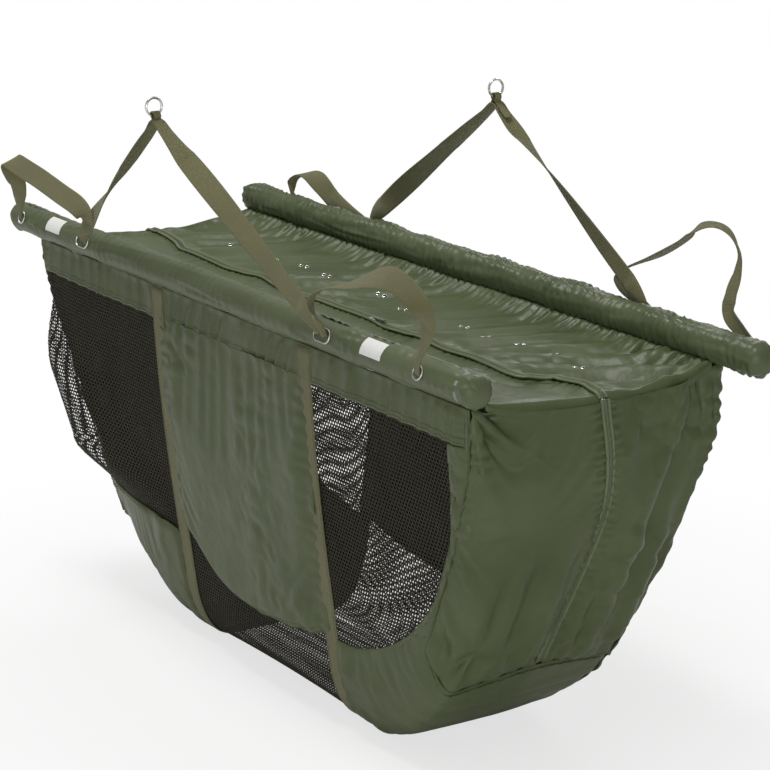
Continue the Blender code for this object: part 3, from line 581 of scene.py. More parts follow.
def webbingMaterial(name, dark, light, mapped=True):
    made, tree, place = newMaterial(name)
    uv = addNode(tree, "ShaderNodeUVMap", uv_map="cloth").outputs["UV"] if mapped else place
    ribs = placeGroup(tree, "ribs", uv, Pitch=0.0017)
    patch = noiseNode(tree, place, 14.0, 4.0)
    # the base colour darkens in the rib grooves and lightens on their crests, a painted shade, over a random
    # tone
    shade = mathNode(tree, "MULTIPLY", ribs.outputs["PaintedRibShade"], 0.55)
    share = mathNode(tree, "MULTIPLY_ADD", patch.outputs[0], 0.5, shade)
    return finishMaterial(
        made, Base_Color=mixColours(tree, "MIX", share, dark, light), Roughness=0.78, Sheen_Weight=0.15,
        Normal=bump(tree, ribs.outputs["Height"], 0.00035))


def netMaterial(name, dark, light):
    made, tree, place = newMaterial(name)
    yarn = noiseNode(tree, place, 900.0, 2.0)
    patch = noiseNode(tree, place, 12.0, 2.0)
    share = mathNode(tree, "MULTIPLY_ADD", yarn.outputs[0], 0.5, patch.outputs[0])
    colour = mixColours(tree, "MIX", mathNode(tree, "MULTIPLY", share, 0.65), dark, light)
    return finishMaterial(made, Base_Color=colour, Roughness=0.7, Specular_IOR_Level=0.2,
                          Normal=bump(tree, yarn.outputs[0], 0.0003))


def steelMaterial(name, colour):
    made, tree, place = newMaterial(name)
    scuff = noiseNode(tree, place, 260.0, 4.0)
    return finishMaterial(made, Base_Color=colour, Metallic=1.0,
                          Normal=bump(tree, scuff.outputs[0], 0.00008),
                          Roughness=mathNode(tree, "MULTIPLY_ADD", scuff.outputs[0], 0.24, 0.12))


def plainMaterial(name, dark, light, roughness, scale=120.0, relief=0.0002):
    made, tree, place = newMaterial(name)
    patch = noiseNode(tree, place, scale, 4.0)
    return finishMaterial(made, Base_Color=mixColours(tree, "MIX", patch.outputs[0], dark, light),
                          Roughness=roughness, Normal=bump(tree, patch.outputs[0], relief))


materials = {
    "nylon": nylonMaterial("green coated nylon", (0.058, 0.075, 0.030), (0.092, 0.113, 0.052)),
    # the sleeves' nylon is the same cloth as the rest, made lighter: a painted sheen
    "sleeve": nylonMaterial("green nylon lightened as painted sheen", (0.068, 0.086, 0.040), (0.108, 0.128, 0.068), 0.0026),
    # the zip's flaps are the same nylon made lighter: a painted highlight on their ridges
    "flapHighlightNylon": nylonMaterial("green flap nylon lightened as painted highlight", (0.100, 0.122, 0.060), (0.150, 0.172, 0.098), 0.0004),
    "webbing": webbingMaterial("olive webbing", (0.085, 0.082, 0.028), (0.200, 0.190, 0.076)),
    "tab": webbingMaterial("olive tab", (0.085, 0.082, 0.028), (0.200, 0.190, 0.076), False),
    "webbingThread": plainMaterial("olive thread", (0.085, 0.082, 0.035), (0.140, 0.135, 0.060), 0.7, 800.0),
    "net": netMaterial("dark knitted net", (0.012, 0.011, 0.007), (0.042, 0.038, 0.023)),
    "steel": steelMaterial("polished steel", (0.70, 0.69, 0.66)),
    "zip": plainMaterial("green zip coil", (0.090, 0.110, 0.060), (0.160, 0.185, 0.115), 0.42, 900.0),
    "thread": plainMaterial("green thread", (0.050, 0.064, 0.030), (0.085, 0.102, 0.052), 0.7, 800.0),
    "label": plainMaterial("white woven patch", (0.66, 0.66, 0.65), (0.82, 0.82, 0.81), 0.65, 500.0),
    "foam": plainMaterial("grey foam", (0.20, 0.20, 0.20), (0.30, 0.30, 0.29), 0.9, 300.0, 0.0008),
    "rod": plainMaterial("white plastic rod", (0.62, 0.62, 0.60), (0.70, 0.70, 0.68), 0.45),
    "hole": plainMaterial("shadowed hole", (0.004, 0.004, 0.004), (0.010, 0.010, 0.010), 0.9),
}
print("materials made")


# Mesh helpers

def addPiece(name, bm, material, smooth=True):
    mesh = bpy.data.meshes.new(name)
    bm.to_mesh(mesh)
    bm.free()
    made = bpy.data.objects.new(name, mesh)
    bpy.context.scene.collection.objects.link(made)
    mesh.materials.append(materials[material])
    if smooth:
        mesh.shade_smooth()
    return made


def gridMesh(columns, rows, place, uvAt=None):
    # a grid whose vertex (i, j) goes to place(i, j), with metres in its UV map
    bm = bmesh.new()
    bmesh.ops.create_grid(bm, x_segments=columns, y_segments=rows, size=0.5)
    layer = bm.loops.layers.uv.new("cloth")
    spots = {}
    for vert in bm.verts:
        i = round((vert.co.x + 0.5) * columns)
        j = round((vert.co.y + 0.5) * rows)
        spots[vert.index] = (i, j)
    for face in bm.faces:
        for loop in face.loops:
            i, j = spots[loop.vert.index]
            loop[layer].uv = uvAt(i, j) if uvAt else (i * 0.004, j * 0.004)
    for vert in bm.verts:
        vert.co = place(*spots[vert.index])
    return bm


outerLift = {}


def thicken(piece, thickness, offset=1.0):
    wall = piece.modifiers.new("wall", "SOLIDIFY")
    wall.thickness = thickness
    wall.offset = offset
    outerLift[piece.name] = thickness * (offset + 1) / 2
    return piece


loose = {"frames": 22, "slack": 0.024, "reach": 0.010, "bending": 0.010, "stiffness": 12.0}


def settle(piece, slack=0.0, detail=None, held=None):
    # the cloth is cut larger than its seams, so it sags and buckles between them, and is then rounded
    mesh = piece.data
    start = [vert.co.copy() for vert in mesh.vertices]
    bm = bmesh.new()
    bm.from_mesh(mesh)
    seams = [vert.index for vert in bm.verts if vert.is_boundary or (held and held(vert.co))]
    bm.free()
    rim = piece.vertex_groups.new(name="seams")
    rim.add(seams, 1.0, "REPLACE")
    cloth = piece.modifiers.new("cloth", "CLOTH")
    settings = cloth.settings
    settings.vertex_group_mass = rim.name
    settings.quality = 5
    settings.mass = 0.12
    settings.tension_stiffness = loose["stiffness"]
    settings.compression_stiffness = loose["stiffness"]
    settings.shear_stiffness = 3.0
    settings.bending_stiffness = loose["bending"]
    settings.shrink_min = -(slack or loose["slack"])
    settings.air_damping = 2.0
    cloth.point_cache.frame_end = loose["frames"]
    for frameNumber in range(1, loose["frames"] + 1):
        scene.frame_set(frameNumber)
    evaluated = piece.evaluated_get(bpy.context.evaluated_depsgraph_get())
    settled = [vert.co.copy() for vert in evaluated.data.vertices]
    piece.modifiers.clear()
    piece.vertex_groups.clear()
    for vert, before, after in zip(mesh.vertices, start, settled):
        move = after - before
        vert.co = before + move * min(1.0, loose["reach"] / max(move.length, 1e-9))
    scene.frame_set(1)
    smooth = piece.modifiers.new("smooth", "SUBSURF")
    smooth.levels = 1
    smooth.render_levels = 1
    rounded = bpy.data.meshes.new_from_object(piece.evaluated_get(bpy.context.evaluated_depsgraph_get()))
    piece.modifiers.clear()
    piece.data = rounded
    if detail:
        lifts = [vert.normal * detail(vert.co) for vert in rounded.vertices]
        for vert, lift in zip(rounded.vertices, lifts):
            vert.co += lift
    return piece


def addBlock(bm, place, *edges):
    # a small block with these three edges
    turn = Matrix(edges).transposed().to_4x4()
    turn.translation = place
    bmesh.ops.create_cube(bm, size=1.0, matrix=turn)


stitch = {"pitch": 0.0038, "length": 0.0026, "width": 0.0007, "height": 0.0005, "sunk": 0.3, "reach": 0.012}


def surfaceTree(piece):
    corners = [vert.co for vert in piece.data.vertices]
    return BVHTree.FromPolygons(corners, [face.vertices for face in piece.data.polygons])


def stitchPiece(name, cloth, paths, finish="thread"):
    # rows of stitches laid on a finished cloth
    tree = surfaceTree(cloth)
    bm = bmesh.new()
    for path in paths:
        travelled = stitch["pitch"]
        for before, after in zip(path, path[1:]):
            span = (after - before).length
            while travelled < span:
                point = before.lerp(after, travelled / span)
                travelled += stitch["pitch"]
                spot, normal, _, distance = tree.find_nearest(point)
                if spot is None or distance > stitch["reach"]:
                    continue
                across = normal.cross(after - before).normalized()
                along = across.cross(normal)
                place = spot + normal * (outerLift.get(cloth.name, 0.0) + stitch["height"] * stitch["sunk"])
                addBlock(bm, place, along * stitch["length"], across * stitch["width"],
                         normal * stitch["height"])
            travelled -= span
    rows = addPiece(name, bm, finish, smooth=False)
    return rows


def clothPiece(name, columns, rows, place, material="nylon", thickness=0.0009, offset=1.0):
    bm = gridMesh(len(columns) - 1, len(rows) - 1, lambda i, j: place(columns[i], rows[j]))
    return thicken(addPiece(name, bm, material), thickness, offset)


def sweepPiece(name, stations, profileAt, material, capped=True):
    # a closed profile of (across, up) points carried along stations of (point, across, up)
    count = len(profileAt(0))
    lengths = [0.0]
    for before, after in zip(stations, stations[1:]):
        lengths.append(lengths[-1] + (after[0] - before[0]).length)
    profiles = [profileAt(i) for i in range(len(stations))]

    def place(i, j):
        point, across, up = stations[i]
        a, b = profiles[i][j % count]
        return point + across * a + up * b

    def uvAt(i, j):
        around = [0.0]
        for n in range(count):
            first, second = profiles[0][n], profiles[0][(n + 1) % count]
            around.append(around[-1] + math.dist(first, second))
        return lengths[i], around[j]

    bm = gridMesh(len(stations) - 1, count, place, uvAt)
    bmesh.ops.remove_doubles(bm, verts=bm.verts, dist=0.000002)
    if capped:
        bmesh.ops.holes_fill(bm, edges=[e for e in bm.edges if e.is_boundary], sides=0)
    bmesh.ops.recalc_face_normals(bm, faces=bm.faces)
    return addPiece(name, bm, material)


def flatProfile(width, thickness, count=6, low=0.0):
    # webbing's outline: flat faces with rounded edges
    half = width / 2 - thickness / 2
    outline = []
    for n in range(count + 1):
        outline.append((mix(-half, half, n / count), low))
    outline.append((half + thickness / 2, low + thickness / 2))
    for n in range(count + 1):
        outline.append((mix(half, -half, n / count), low + thickness))
    outline.append((-half - thickness / 2, low + thickness / 2))
    return outline


def cuppedProfile(chord, length, thickness, count=10):
    # webbing bunched into an arc: its true width is length, and its ends are chord apart
    angle = halve(0.0, 3.0, lambda turn: math.sin(turn) / turn > chord / length, 30)
    if angle < 0.12:
        return flatProfile(length, thickness, count, -thickness / 2)
    radius = length / (2 * angle)
    outline = []
    for edge, direction in ((radius - thickness / 2, 1), (radius + thickness / 2, -1)):
        for n in range(count + 1):
            turn = direction * mix(-angle, angle, n / count)
            outline.append((edge * math.sin(turn), edge * math.cos(turn) - radius * math.cos(angle)))
        corner = direction * angle
        outline.append((radius * math.sin(corner), radius * math.cos(corner) - radius * math.cos(angle)))
    return outline


def framed(rows):
    # adds the direction across the run to each (point, outward)
    made = []
    for n, (point, out) in enumerate(rows):
        run = (rows[min(n + 1, len(rows) - 1)][0] - rows[max(n - 1, 0)][0]).normalized()
        across = out.cross(run).normalized()
        made.append((point, across, run.cross(across).normalized()))
    return made


# Sleeves

sleeves = {"wall": 0.0008, "pleat": {1: 0.0014, -1: 0.0044}, "pleatPitch": {1: 0.034, -1: 0.024},
           "wrinkle": {1: 0.0018, -1: 0.0012}, "slant": 0.006, "seamReach": 0.45, "innerReach": 0.5,
           "flushRound": 0.014, "flushLip": 0.004, "lipShare": 0.08, "slotRoom": (0.002, 0.022),
           "patchRoom": (0.0, 0.014), "endPleats": 13, "endPleat": 0.0013, "endPleatReach": 0.010,
           "neck": 0.0024, "neckFrom": 0.030, "neckReach": 0.004, "sink": -0.0004, "fullness": 1.1,
           "columns": 300, "rows": 64}
footSlots = []
for word in ("tail", "tail_inner", "flush_inner", "flush"):
    low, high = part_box(f"near_{word}_eyelet")
    footSlots.append(((low.x + high.x) / 2, (high.x - low.x) / 2))
labelCentres, labelHalf = [], 0.0
for word in ("left", "right"):
    low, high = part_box(f"{word}_label")
    labelCentres.append((low.x + high.x) / 2)
    labelHalf = (high.x - low.x) / 2


def sleevePiece(side, name):
    length = flushX - tailX
    columns, rows = sleeves["columns"], sleeves["rows"]
    pitch = sleeves["pleatPitch"][side]

    def place(i, j):
        angle = math.tau * j / rows          # 0 is on top, a quarter turn is outside
        outward, upward = math.sin(angle), math.cos(angle)
        x = tailX + length * (i / columns)
        fromTail, fromFlush = x - tailX, flushX - x
        drawn = 1.0
        if fromTail < sleeveRadius:
            drawn = math.sqrt(max(0.0, 1 - (1 - fromTail / sleeveRadius) ** 2))
        if fromFlush < sleeves["flushRound"]:
            drawn = mix(math.sqrt(max(0.0, 1 - (1 - fromFlush / sleeves["flushRound"]) ** 2)),
                        clamp(fromFlush / sleeves["flushLip"]), sleeves["lipShare"])
        slot = min(abs(x - centre) - half for centre, half in footSlots)
        patch = min(abs(x - centre) for centre in labelCentres) - labelHalf
        quiet = min(smoothStep(slot, *sleeves["slotRoom"]), smoothStep(patch, *sleeves["patchRoom"]))
        seam = fade(angle - math.pi, sleeves["seamReach"])
        inner = fade(angle - 1.75 * math.pi, sleeves["innerReach"])
        slant = sleeves["slant"] * math.sin(angle + 0.6)
        pleats = ripple((x + slant) / pitch, outward * 0.8, side * 3.0)
        pleats = (1 - (1 - abs(pleats)) ** 1.5) * 1.6 - 0.6
        pleats += 0.5 * ripple(x / pitch * 1.7, upward, side * 8.0)
        pleats *= clamp(0.45 + 0.5 * seam + 0.4 * inner + 0.9 * grain(x * 14, outward * 1.4, 2.0 * side))
        wrinkles = math.sin(5 * angle + 9 * grain((3 * x + 0.5 * outward) * 2, upward, side * 5.0))
        wrinkles *= 0.4 + grain(x * 6, upward, 9.0)
        lift = sleeves["pleat"][side] * pleats + sleeves["wrinkle"][side] * wrinkles
        lift *= quiet if angle < math.pi else 1.0
        knot = fade(fromFlush, sleeves["endPleatReach"]) * sleeves["endPleat"]
        knot *= math.sin(sleeves["endPleats"] * angle)
        neck = sleeves["neck"] * fade(fromFlush - sleeves["neckFrom"], sleeves["neckReach"])
        radius = sleeveRadius + max(sleeves["sink"], lift) + knot - neck
        return turnedHalf((x, -barY - radius * drawn * outward, barZ + radius * drawn * upward), side)

    bm = gridMesh(columns, rows, place, lambda i, j: (i * 0.004, j * 0.002))
    bmesh.ops.remove_doubles(bm, verts=bm.verts, dist=0.000002)
    bmesh.ops.recalc_face_normals(bm, faces=bm.faces)
    # the sleeve takes the lighter nylon, whose extra lightness is a painted sheen
    piece = thicken(addPiece(f"{name}_sleeve_cloth", bm, "sleeve"), sleeves["wall"], -1.0)
    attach(piece, f"{name}_half")
    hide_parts(f"{name}_sleeve", f"{name}_sleeve_end")


# Walls: the top band, the nylon round the windows, the middle panel

windows = {"outer": {"round": 0.500, "full": 0.560}, "power": {"round": 2.0, "full": 4.6},
           "bottomZ": {"round": 0.130, "full": 0.168}, "seamRoom": {"round": 0.006, "full": -0.001},
           "topDrop": 0.004, "innerOffset": 0.011}
windowInner = bag["strapX"] + windows["innerOffset"]
windowTop = wallTopZ - bag["bandHeight"] - windows["topDrop"]
cornerStation = seamStationAtHeight(windowTop + 0.002, False)


def windowEdge(share, kind, grow=0.0):
    # the window's outer edge, from its top outer corner to the foot of its strap, as (x, height)
    angle = math.pi / 2 * share
    power = 2 / windows["power"][kind]
    reach = windows["outer"][kind] - windowInner + grow
    drop = windowTop - windows["bottomZ"][kind] + grow
    z = windowTop - drop * math.sin(angle) ** power
    x = windowInner + reach * max(0.0, math.cos(angle)) ** power
    return min(x, seamLimit(z, kind) + min(grow, 0.002)), z


def seamLimit(z, kind):
    # a window stops at the end seam, or just short of it
    full = kind == "full"
    station = seamStationAtHeight(max(z, windows["bottomZ"][kind]), full)
    return endX(station, full) - windows["seamRoom"][kind]


def inWindow(x, z, kind, grow=0.0):
    reach = windows["outer"][kind] - windowInner + grow
    drop = windowTop - windows["bottomZ"][kind] + grow
    if x < windowInner - 0.009 or z > windowTop + 0.006:
        return False
    across, down = max(0.0, x - windowInner) / reach, max(0.0, windowTop - z) / drop
    rounded = across ** windows["power"][kind] + down ** windows["power"][kind] < 1
    return rounded and x < seamLimit(z, kind) + (0.003 if kind == "round" else 0.0)


def seamLeft(kind):
    # where along its outer edge a window leaves the end seam
    if kind == "round":
        return 0.0
    edge = [(share, *windowEdge(share, kind)) for share in steps(200)]
    return max(share for share, x, z in edge if x > seamLimit(z, kind) - 0.0005)


panels = {"seamShare": 0.62, "underShare": 0.26, "baseShare": 0.12, "slack": 0.016, "cloth": 0.0010,
          "columns": 90, "rows": 26, "crowding": 1.25,
          "lift": 0.0002, "hem": 0.0006, "hemShare": (0.03, 0.06),
          "creases": 0.0070, "strapHalf": 0.016, "strapRoom": 0.012, "pucker": 0.0007, "puckerPitch": 0.020,
          "flat": {"near": (0.42, 0.62), "far": (0.22, 0.48)},
          "area": {"near": {"round": 0.100, "full": 0.095}, "far": {"round": 0.038, "full": 0.036}}}


def panelEdge(share, full):
    # the panel's outer edge: down the end seam, under the end to the far base edge, then back to the strap
    past = share - panels["seamShare"]
    if past < 0:
        t = mix(cornerStation, 2.0, (share / panels["seamShare"]) ** 0.9)
        return endX(t, full), t
    if past < panels["underShare"]:
        t = mix(2.0, -1.0, past / panels["underShare"])
        return endX(t, full and t > 0), t
    past -= panels["underShare"]
    return mix(endX(1.0), bag["strapX"], past / panels["baseShare"]), -1.0


def wallDetail(point):
    toStrap = abs(abs(point.x) - bag["strapX"]) - panels["strapHalf"]
    creases = smoothStep(abs(toStrap), 0.0, panels["strapRoom"]) * panels["creases"]
    beside = max(0.0, toStrap)
    pucker = gathers(point.z / panels["puckerPitch"], point.x * 5, 12.0, beside, panels["strapHalf"])
    return creases * facets(point.x, point.z, 71.0) + panels["pucker"] * pucker


def panelPiece(side, hand, name, shown, kind, seed):
    columns = steps(panels["columns"], seamLeft(kind), 1.0)
    rows = [v ** panels["crowding"] for v in steps(panels["rows"])]
    inner = []
    for u in columns:
        x, z = windowEdge(u, kind)
        inner.append((x, stationAtHeight(x, z)))

    def outerAt(u):
        x, t = panelEdge(u, kind == "full")
        return x, t if side > 0 else max(1.0, t)

    def place(i, j):
        u, v = columns[i], rows[j]
        x0, t0 = inner[i]
        x1, t1 = outerAt(u)
        x, t = mix(x0, x1, v), mix(t0, t1, v)
        hem = panels["hem"] * (1 - smoothStep(v, *panels["hemShare"]))
        return wallCloth(hand * x, t, side, seed, hem + panels["lift"])

    bm = gridMesh(len(columns) - 1, len(rows) - 1, place)
    if hand < 0:
        bmesh.ops.reverse_faces(bm, faces=bm.faces)
    piece = settle(addPiece(f"{name}_{shown}_panel_cloth", bm, "nylon"), panels["slack"], wallDetail)
    thicken(piece, panels["cloth"])
    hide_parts(f"{name}_{shown}_panel")
    joinBodies(piece, side, True)


def joinBodies(piece, side, crossing):
    # near pieces that stay above the floor ride with the near half; far pieces and cloth that reaches across
    # the fold keep their place
    if crossing or side < 0:
        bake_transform(piece)
    else:
        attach(piece, "near_half")


def hemTape(name, points, width, height, finish="nylon"):
    # a turned-in edge or a taped seam, as a low rounded strip along points of (place, outward)
    stations = framed(points)
    half, last = width / 2, len(stations) - 1
    profile = [(half * math.cos(a), height * min(1.0, 1.6 * math.sin(a))) for a in steps(8, math.pi, 0.0)]

    def profileAt(i):
        share = smoothStep(min(i, last - i), -1, 7)
        return [(a * share, b * share) for a, b in profile]

    piece = sweepPiece(name, stations, profileAt, finish)
    return piece


def wallRow(side, hand, seed, route, lift):
    # route is a list of (x, t) on one half of a wall
    rows = []
    for x, t in route:
        point = wallCloth(hand * x, t, side, seed, lift)
        rows.append((point, (wallCloth(hand * x, t, side, seed, lift + 0.01) - point).normalized()))
    return rows


hems = {"window": 0.0075, "seam": 0.0095, "height": 0.0009, "lift": 0.0010, "pucker": 0.0005, "inset": 0.62,
        "stitchAt": 0.34, "from": {"round": 2.97, "full": 2.06}, "to": {1: -0.95, -1: 1.1}}


def wallSeams(side, hand, name, shown, kind, seed):
    edges = []
    for share in steps(170, seamLeft(kind), 0.995):
        x, z = windowEdge(share, kind, hems["window"] / 2)
        edges.append((x, stationAtHeight(x, min(z, windowTop + windows["topDrop"]))))
    seams = [(endX(t, kind == "full" and t > 0) - hems["seam"] * hems["inset"], t)
             for t in steps(220, hems["from"][kind], hems["to"][side])]
    # the window hems take the same lighter nylon, a painted sheen on their rims
    tapes = {"window_hem": (edges, hems["window"], "sleeve"), "end_seam": (seams, hems["seam"], "nylon")}
    for word, (route, width, finish) in tapes.items():
        rows = []
        for n, (point, out) in enumerate(wallRow(side, hand, seed, route, hems["lift"])):
            pucker = hems["pucker"] * math.sin(n * 0.9 + 2 * grain(n * 0.11, 0.0, seed))
            rows.append((point + out * pucker, out))
        tape = hemTape(f"{name}_{shown}_{word}", rows, width, hems["height"], finish)
        closes(tape)
        paths = [[point + up * hems["lift"] + across * width * hems["stitchAt"] * edge
                  for point, across, up in framed(rows)] for edge in (-1, 1)]
        closes(stitchPiece(f"{name}_{shown}_{word}_stitches", tape, paths))


centre = {"lowZ": 0.107, "leftRise": 0.070, "rightRise": 0.022, "halfWidth": 0.17, "slack": 0.014,
          "cloth": 0.0009, "topLap": 0.008, "hem": 0.0005, "hemShare": (0.03, 0.045),
          "stitchRoom": 0.016, "stitchRows": (0.003, 0.010), "columns": 56, "rows": 60}


def centreEdge(x):
    # height of the middle panel's curved lower edge
    left, right = max(0.0, -x) / centre["halfWidth"], max(0.0, x) / centre["halfWidth"]
    return centre["lowZ"] + centre["leftRise"] * left ** 2.2 + centre["rightRise"] * right ** 2


net = {"cell": 0.0060, "strand": 0.00105, "thickness": 0.0006, "windowLift": 0.0002, "floorLift": -0.0001,
       "windowDepths": (0.040, 0.43), "floorDepth": 0.330, "floorRoom": 0.004, "centreLap": 0.007,
       "windowArea": {"round": 0.075, "full": 0.098}, "yarnShare": 0.6}


def netPiece(name, xLow, xHigh, depthLow, depthHigh, inside, place):
    # knitted net: a brick pattern of cells, drawn into hexagons, each with its own hole
    half = net["cell"] / 2
    pitch = net["cell"] * math.sqrt(3) / 2
    columns = round((xHigh - xLow) / half)
    rows = round((depthHigh - depthLow) / pitch)
    tip = net["cell"] / math.sqrt(3) / 4
    bm = bmesh.new()
    bmesh.ops.create_grid(bm, x_segments=columns, y_segments=rows, size=0.5)
    spots = {}
    for vert in bm.verts:
        spots[vert] = (round((vert.co.x + 0.5) * columns), round((vert.co.y + 0.5) * rows))
    spare = []
    for edge in bm.edges:
        (i, j), (k, m) = spots[edge.verts[0]], spots[edge.verts[1]]
        if i == k and 0 < i < columns and (i + min(j, m)) % 2:
            spare.append(edge)
    for vert, (i, j) in spots.items():
        shift = tip if (i + j) % 2 == 0 else -tip
        vert.co = Vector((xLow + i * half, depthLow + j * pitch + shift, 0))
    bmesh.ops.dissolve_edges(bm, edges=spare, use_verts=False, use_face_split=False)
    outside = [f for f in bm.faces if not inside(*f.calc_center_median()[:2])]
    bmesh.ops.delete(bm, geom=outside, context="FACES")
    holes = list(bm.faces)
    bmesh.ops.inset_individual(bm, faces=holes, thickness=net["strand"], depth=0.0, use_even_offset=True)
    bmesh.ops.delete(bm, geom=holes, context="FACES_ONLY")
    for vert in bm.verts:
        vert.co = place(vert.co.x, vert.co.y)
    return thicken(addPiece(name, bm, "net", smooth=False), net["thickness"], 0.0)


# The near left net hangs full, out past its end seam
pouch = {"reach": Vector((-0.050, -0.024, 0.0)), "turn": 0.020, "fade": (0.04, 0.24), "top": 0.15,
         "foot": 0.06}


def pouchShare(x, z):
    fromSeam = max(0.0, seamLimit(z, "full") - x)
    across = smoothStep(fromSeam, 0.0, pouch["turn"]) * (1 - smoothStep(fromSeam, *pouch["fade"]))
    fromFoot = z - windows["bottomZ"]["full"]
    return across * smoothStep(windowTop - z, 0.0, pouch["top"]) * smoothStep(fromFoot, 0.0, pouch["foot"])


def windowNet(side, hand, name, shown, kind, seed):
    def inside(x, depth):
        t = stationAtDepth(x, depth)
        return inWindow(x, section(x, abs(t))[1], kind, net["cell"])

    def place(x, depth):
        t = stationAtDepth(x, depth)
        point = wallCloth(hand * x, t, side, seed, net["windowLift"])
        if side > 0 and kind == "full":
            point += pouch["reach"] * pouchShare(x, section(x, t)[1])
        return point

    piece = netPiece(f"{name}_{shown}_net", windowInner - net["cell"], windows["outer"][kind] + net["cell"],
                     *net["windowDepths"], inside, place)
    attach(piece, f"{name}_half")
    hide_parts(f"{name}_{shown}_window")


band = {"lift": 0.0005, "hem": 0.0004, "hemShare": (0.06, 0.14), "stitchRows": (0.06, 0.17),
        "stitchEnd": 0.985, "overlap": 0.002, "columns": 320, "rows": 16}


def bandPiece(side, name, seed):
    def place(u, share):
        # from the foot of the band, level with the windows' tops, up to the sleeve
        foot = mix(cornerStation, 3.0, share)
        x = u * endX(foot, u < 0)
        t = mix(stationAtHeight(x, windowTop + band["overlap"]), 3.0, share) if abs(u) < 0.999 else foot
        hem = band["hem"] * (1 - smoothStep(share, *band["hemShare"]))
        return wallCloth(x, t, side, seed, band["lift"] + hem)

    piece = clothPiece(f"{name}_band_cloth", steps(band["columns"], -1.0, 1.0), steps(band["rows"]), place)
    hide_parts(f"{name}_top_band")
    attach(piece, f"{name}_half")
    route = steps(300, -band["stitchEnd"], band["stitchEnd"])
    paths = [[place(u, share) for u in route] for share in band["stitchRows"]]
    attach(stitchPiece(f"{name}_band_stitches", piece, paths), f"{name}_half")


def centrePiece(side, name, seed):
    columns, rows = centre["columns"], centre["rows"]

    def place(i, j):
        x, v = (2 * i / columns - 1) * bag["strapX"], j / rows
        low = stationAtHeight(x, centreEdge(x))
        t = mix(low, stationAtHeight(x, windowTop + centre["topLap"]), v)
        return wallCloth(x, t, side, seed, centre["hem"] * (1 - smoothStep(v, *centre["hemShare"])))

    piece = addPiece(f"{name}_centre_cloth", gridMesh(columns, rows, place), "nylon")
    thicken(settle(piece, centre["slack"], wallDetail), centre["cloth"])
    reach = bag["strapX"] - centre["stitchRoom"]
    paths = [[wallCloth(x, stationAtHeight(x, centreEdge(x) + rise), side, seed, 0.001)
              for x in steps(120, -reach, reach)] for rise in centre["stitchRows"]]
    joinBodies(stitchPiece(f"{name}_centre_stitches", piece, paths), side, False)
    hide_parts(f"{name}_centre_panel")
    joinBodies(piece, side, False)


def floorNet(side, name, seed):
    # under the middle panel: the near net runs on across the floor, the far one stops at the floor's edge
    low, node = ("floor_net", "floor_mesh") if side > 0 else ("far_lower_net", "far_lower_mesh")
    half = bag["strapX"] + net["cell"]

    def inside(x, depth):
        t = stationAtDepth(x, depth)
        if side < 0 and t < 1.0:
            return False
        shown = t < 1.0 or section(x, abs(t))[1] < centreEdge(x) + net["centreLap"]
        return shown and abs(x) < bag["strapX"] + net["floorRoom"]

    def place(x, depth):
        return wallCloth(x, stationAtDepth(x, depth), side, seed, net["floorLift"])

    piece = netPiece(low, -half, half, net["floorDepth"], depthAtStation(0.0, -side), inside, place)
    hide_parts(node)
    joinBodies(piece, side, True)


def wallPieces(side, name, seed):
    bandPiece(side, name, seed)
    corners = [(hand, "left" if hand * side < 0 else "right") for hand in (-1, 1)]
    for hand, shown in corners:
        kind = "full" if hand < 0 else "round"
        panelPiece(side, hand, name, shown, kind, seed)
        wallSeams(side, hand, name, shown, kind, seed)
        windowNet(side, hand, name, shown, kind, seed)
    centrePiece(side, name, seed)
    floorNet(side, name, seed)
    for hand, shown in corners:
        strapPiece(side, hand, name, shown)


# Vertical webbing

uprights = {"width": 0.030, "thickness": 0.0015, "lift": 0.0022, "waver": 0.003, "stitchAt": 0.0115}


def strapPiece(side, hand, name, shown):
    stations = []
    lift = uprights["lift"] - uprights["thickness"] / 2
    for t in steps(110, 2.985, -side):
        waver = uprights["waver"] * grain(t * 2.2, hand * 4.0, side * 2.0) * smoothStep(t, 1.0, 1.6)
        x = hand * bag["strapX"] + waver
        here = turnedHalf(wallPoint(x, t, lift), side)
        out = (turnedHalf(wallPoint(x, t, lift + 0.01), side) - here).normalized()
        stations.append((here, Vector((1, 0, 0)), out))
    profile = flatProfile(uprights["width"], uprights["thickness"], 6, -uprights["thickness"] / 2)
    piece = sweepPiece(f"{name}_{shown}_webbing", stations, lambda i: profile, "webbing")
    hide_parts(f"{name}_{shown}_strap")
    joinBodies(piece, side, True)
    paths = [[here + across * share * uprights["stitchAt"] + out * 0.001
              for here, across, out in stations[2:-2]] for share in (-1, 1)]
    joinBodies(stitchPiece(f"{name}_{shown}_webbing_stitches", piece, paths, "webbingThread"), side, True)


# Ends, near strip, cover and zip

zipCloth = {"room": 0.0024, "coil": 0.0044, "coilHeight": 0.0016, "tape": 0.0068, "flap": 0.0050,
            "flapOffset": 0.0049, "flapHeight": 0.0030, "lift": 0.0008, "topLift": 0.0018, "topReach": 1.6,
            "toothPitch": 0.0020, "toothWidth": 0.0034, "toothSize": 0.0008}


ends = {"columns": 40, "rows": 76, "slack": 0.028, "cloth": 0.0009, "lift": 0.0002,
        "zipPucker": 0.0012, "zipPuckerPitch": 0.0115, "zipPuckerReach": 0.012,
        "seamPucker": 0.0016, "seamPuckerPitch": 0.019, "seamPuckerReach": 0.020, "seamPuckerFoot": 0.2,
        "seamInset": 0.006,
        "footPleat": 0.0018, "footPleatPitch": 0.026, "footPleatZ": 0.16, "footPleatReach": 0.030,
        "creases": 0.0110, "creaseY": 0.006, "creaseRoom": (0.012, 0.045), "stitchOffset": 0.0075,
        "area": {"near": 0.075, "far": 0.067}}


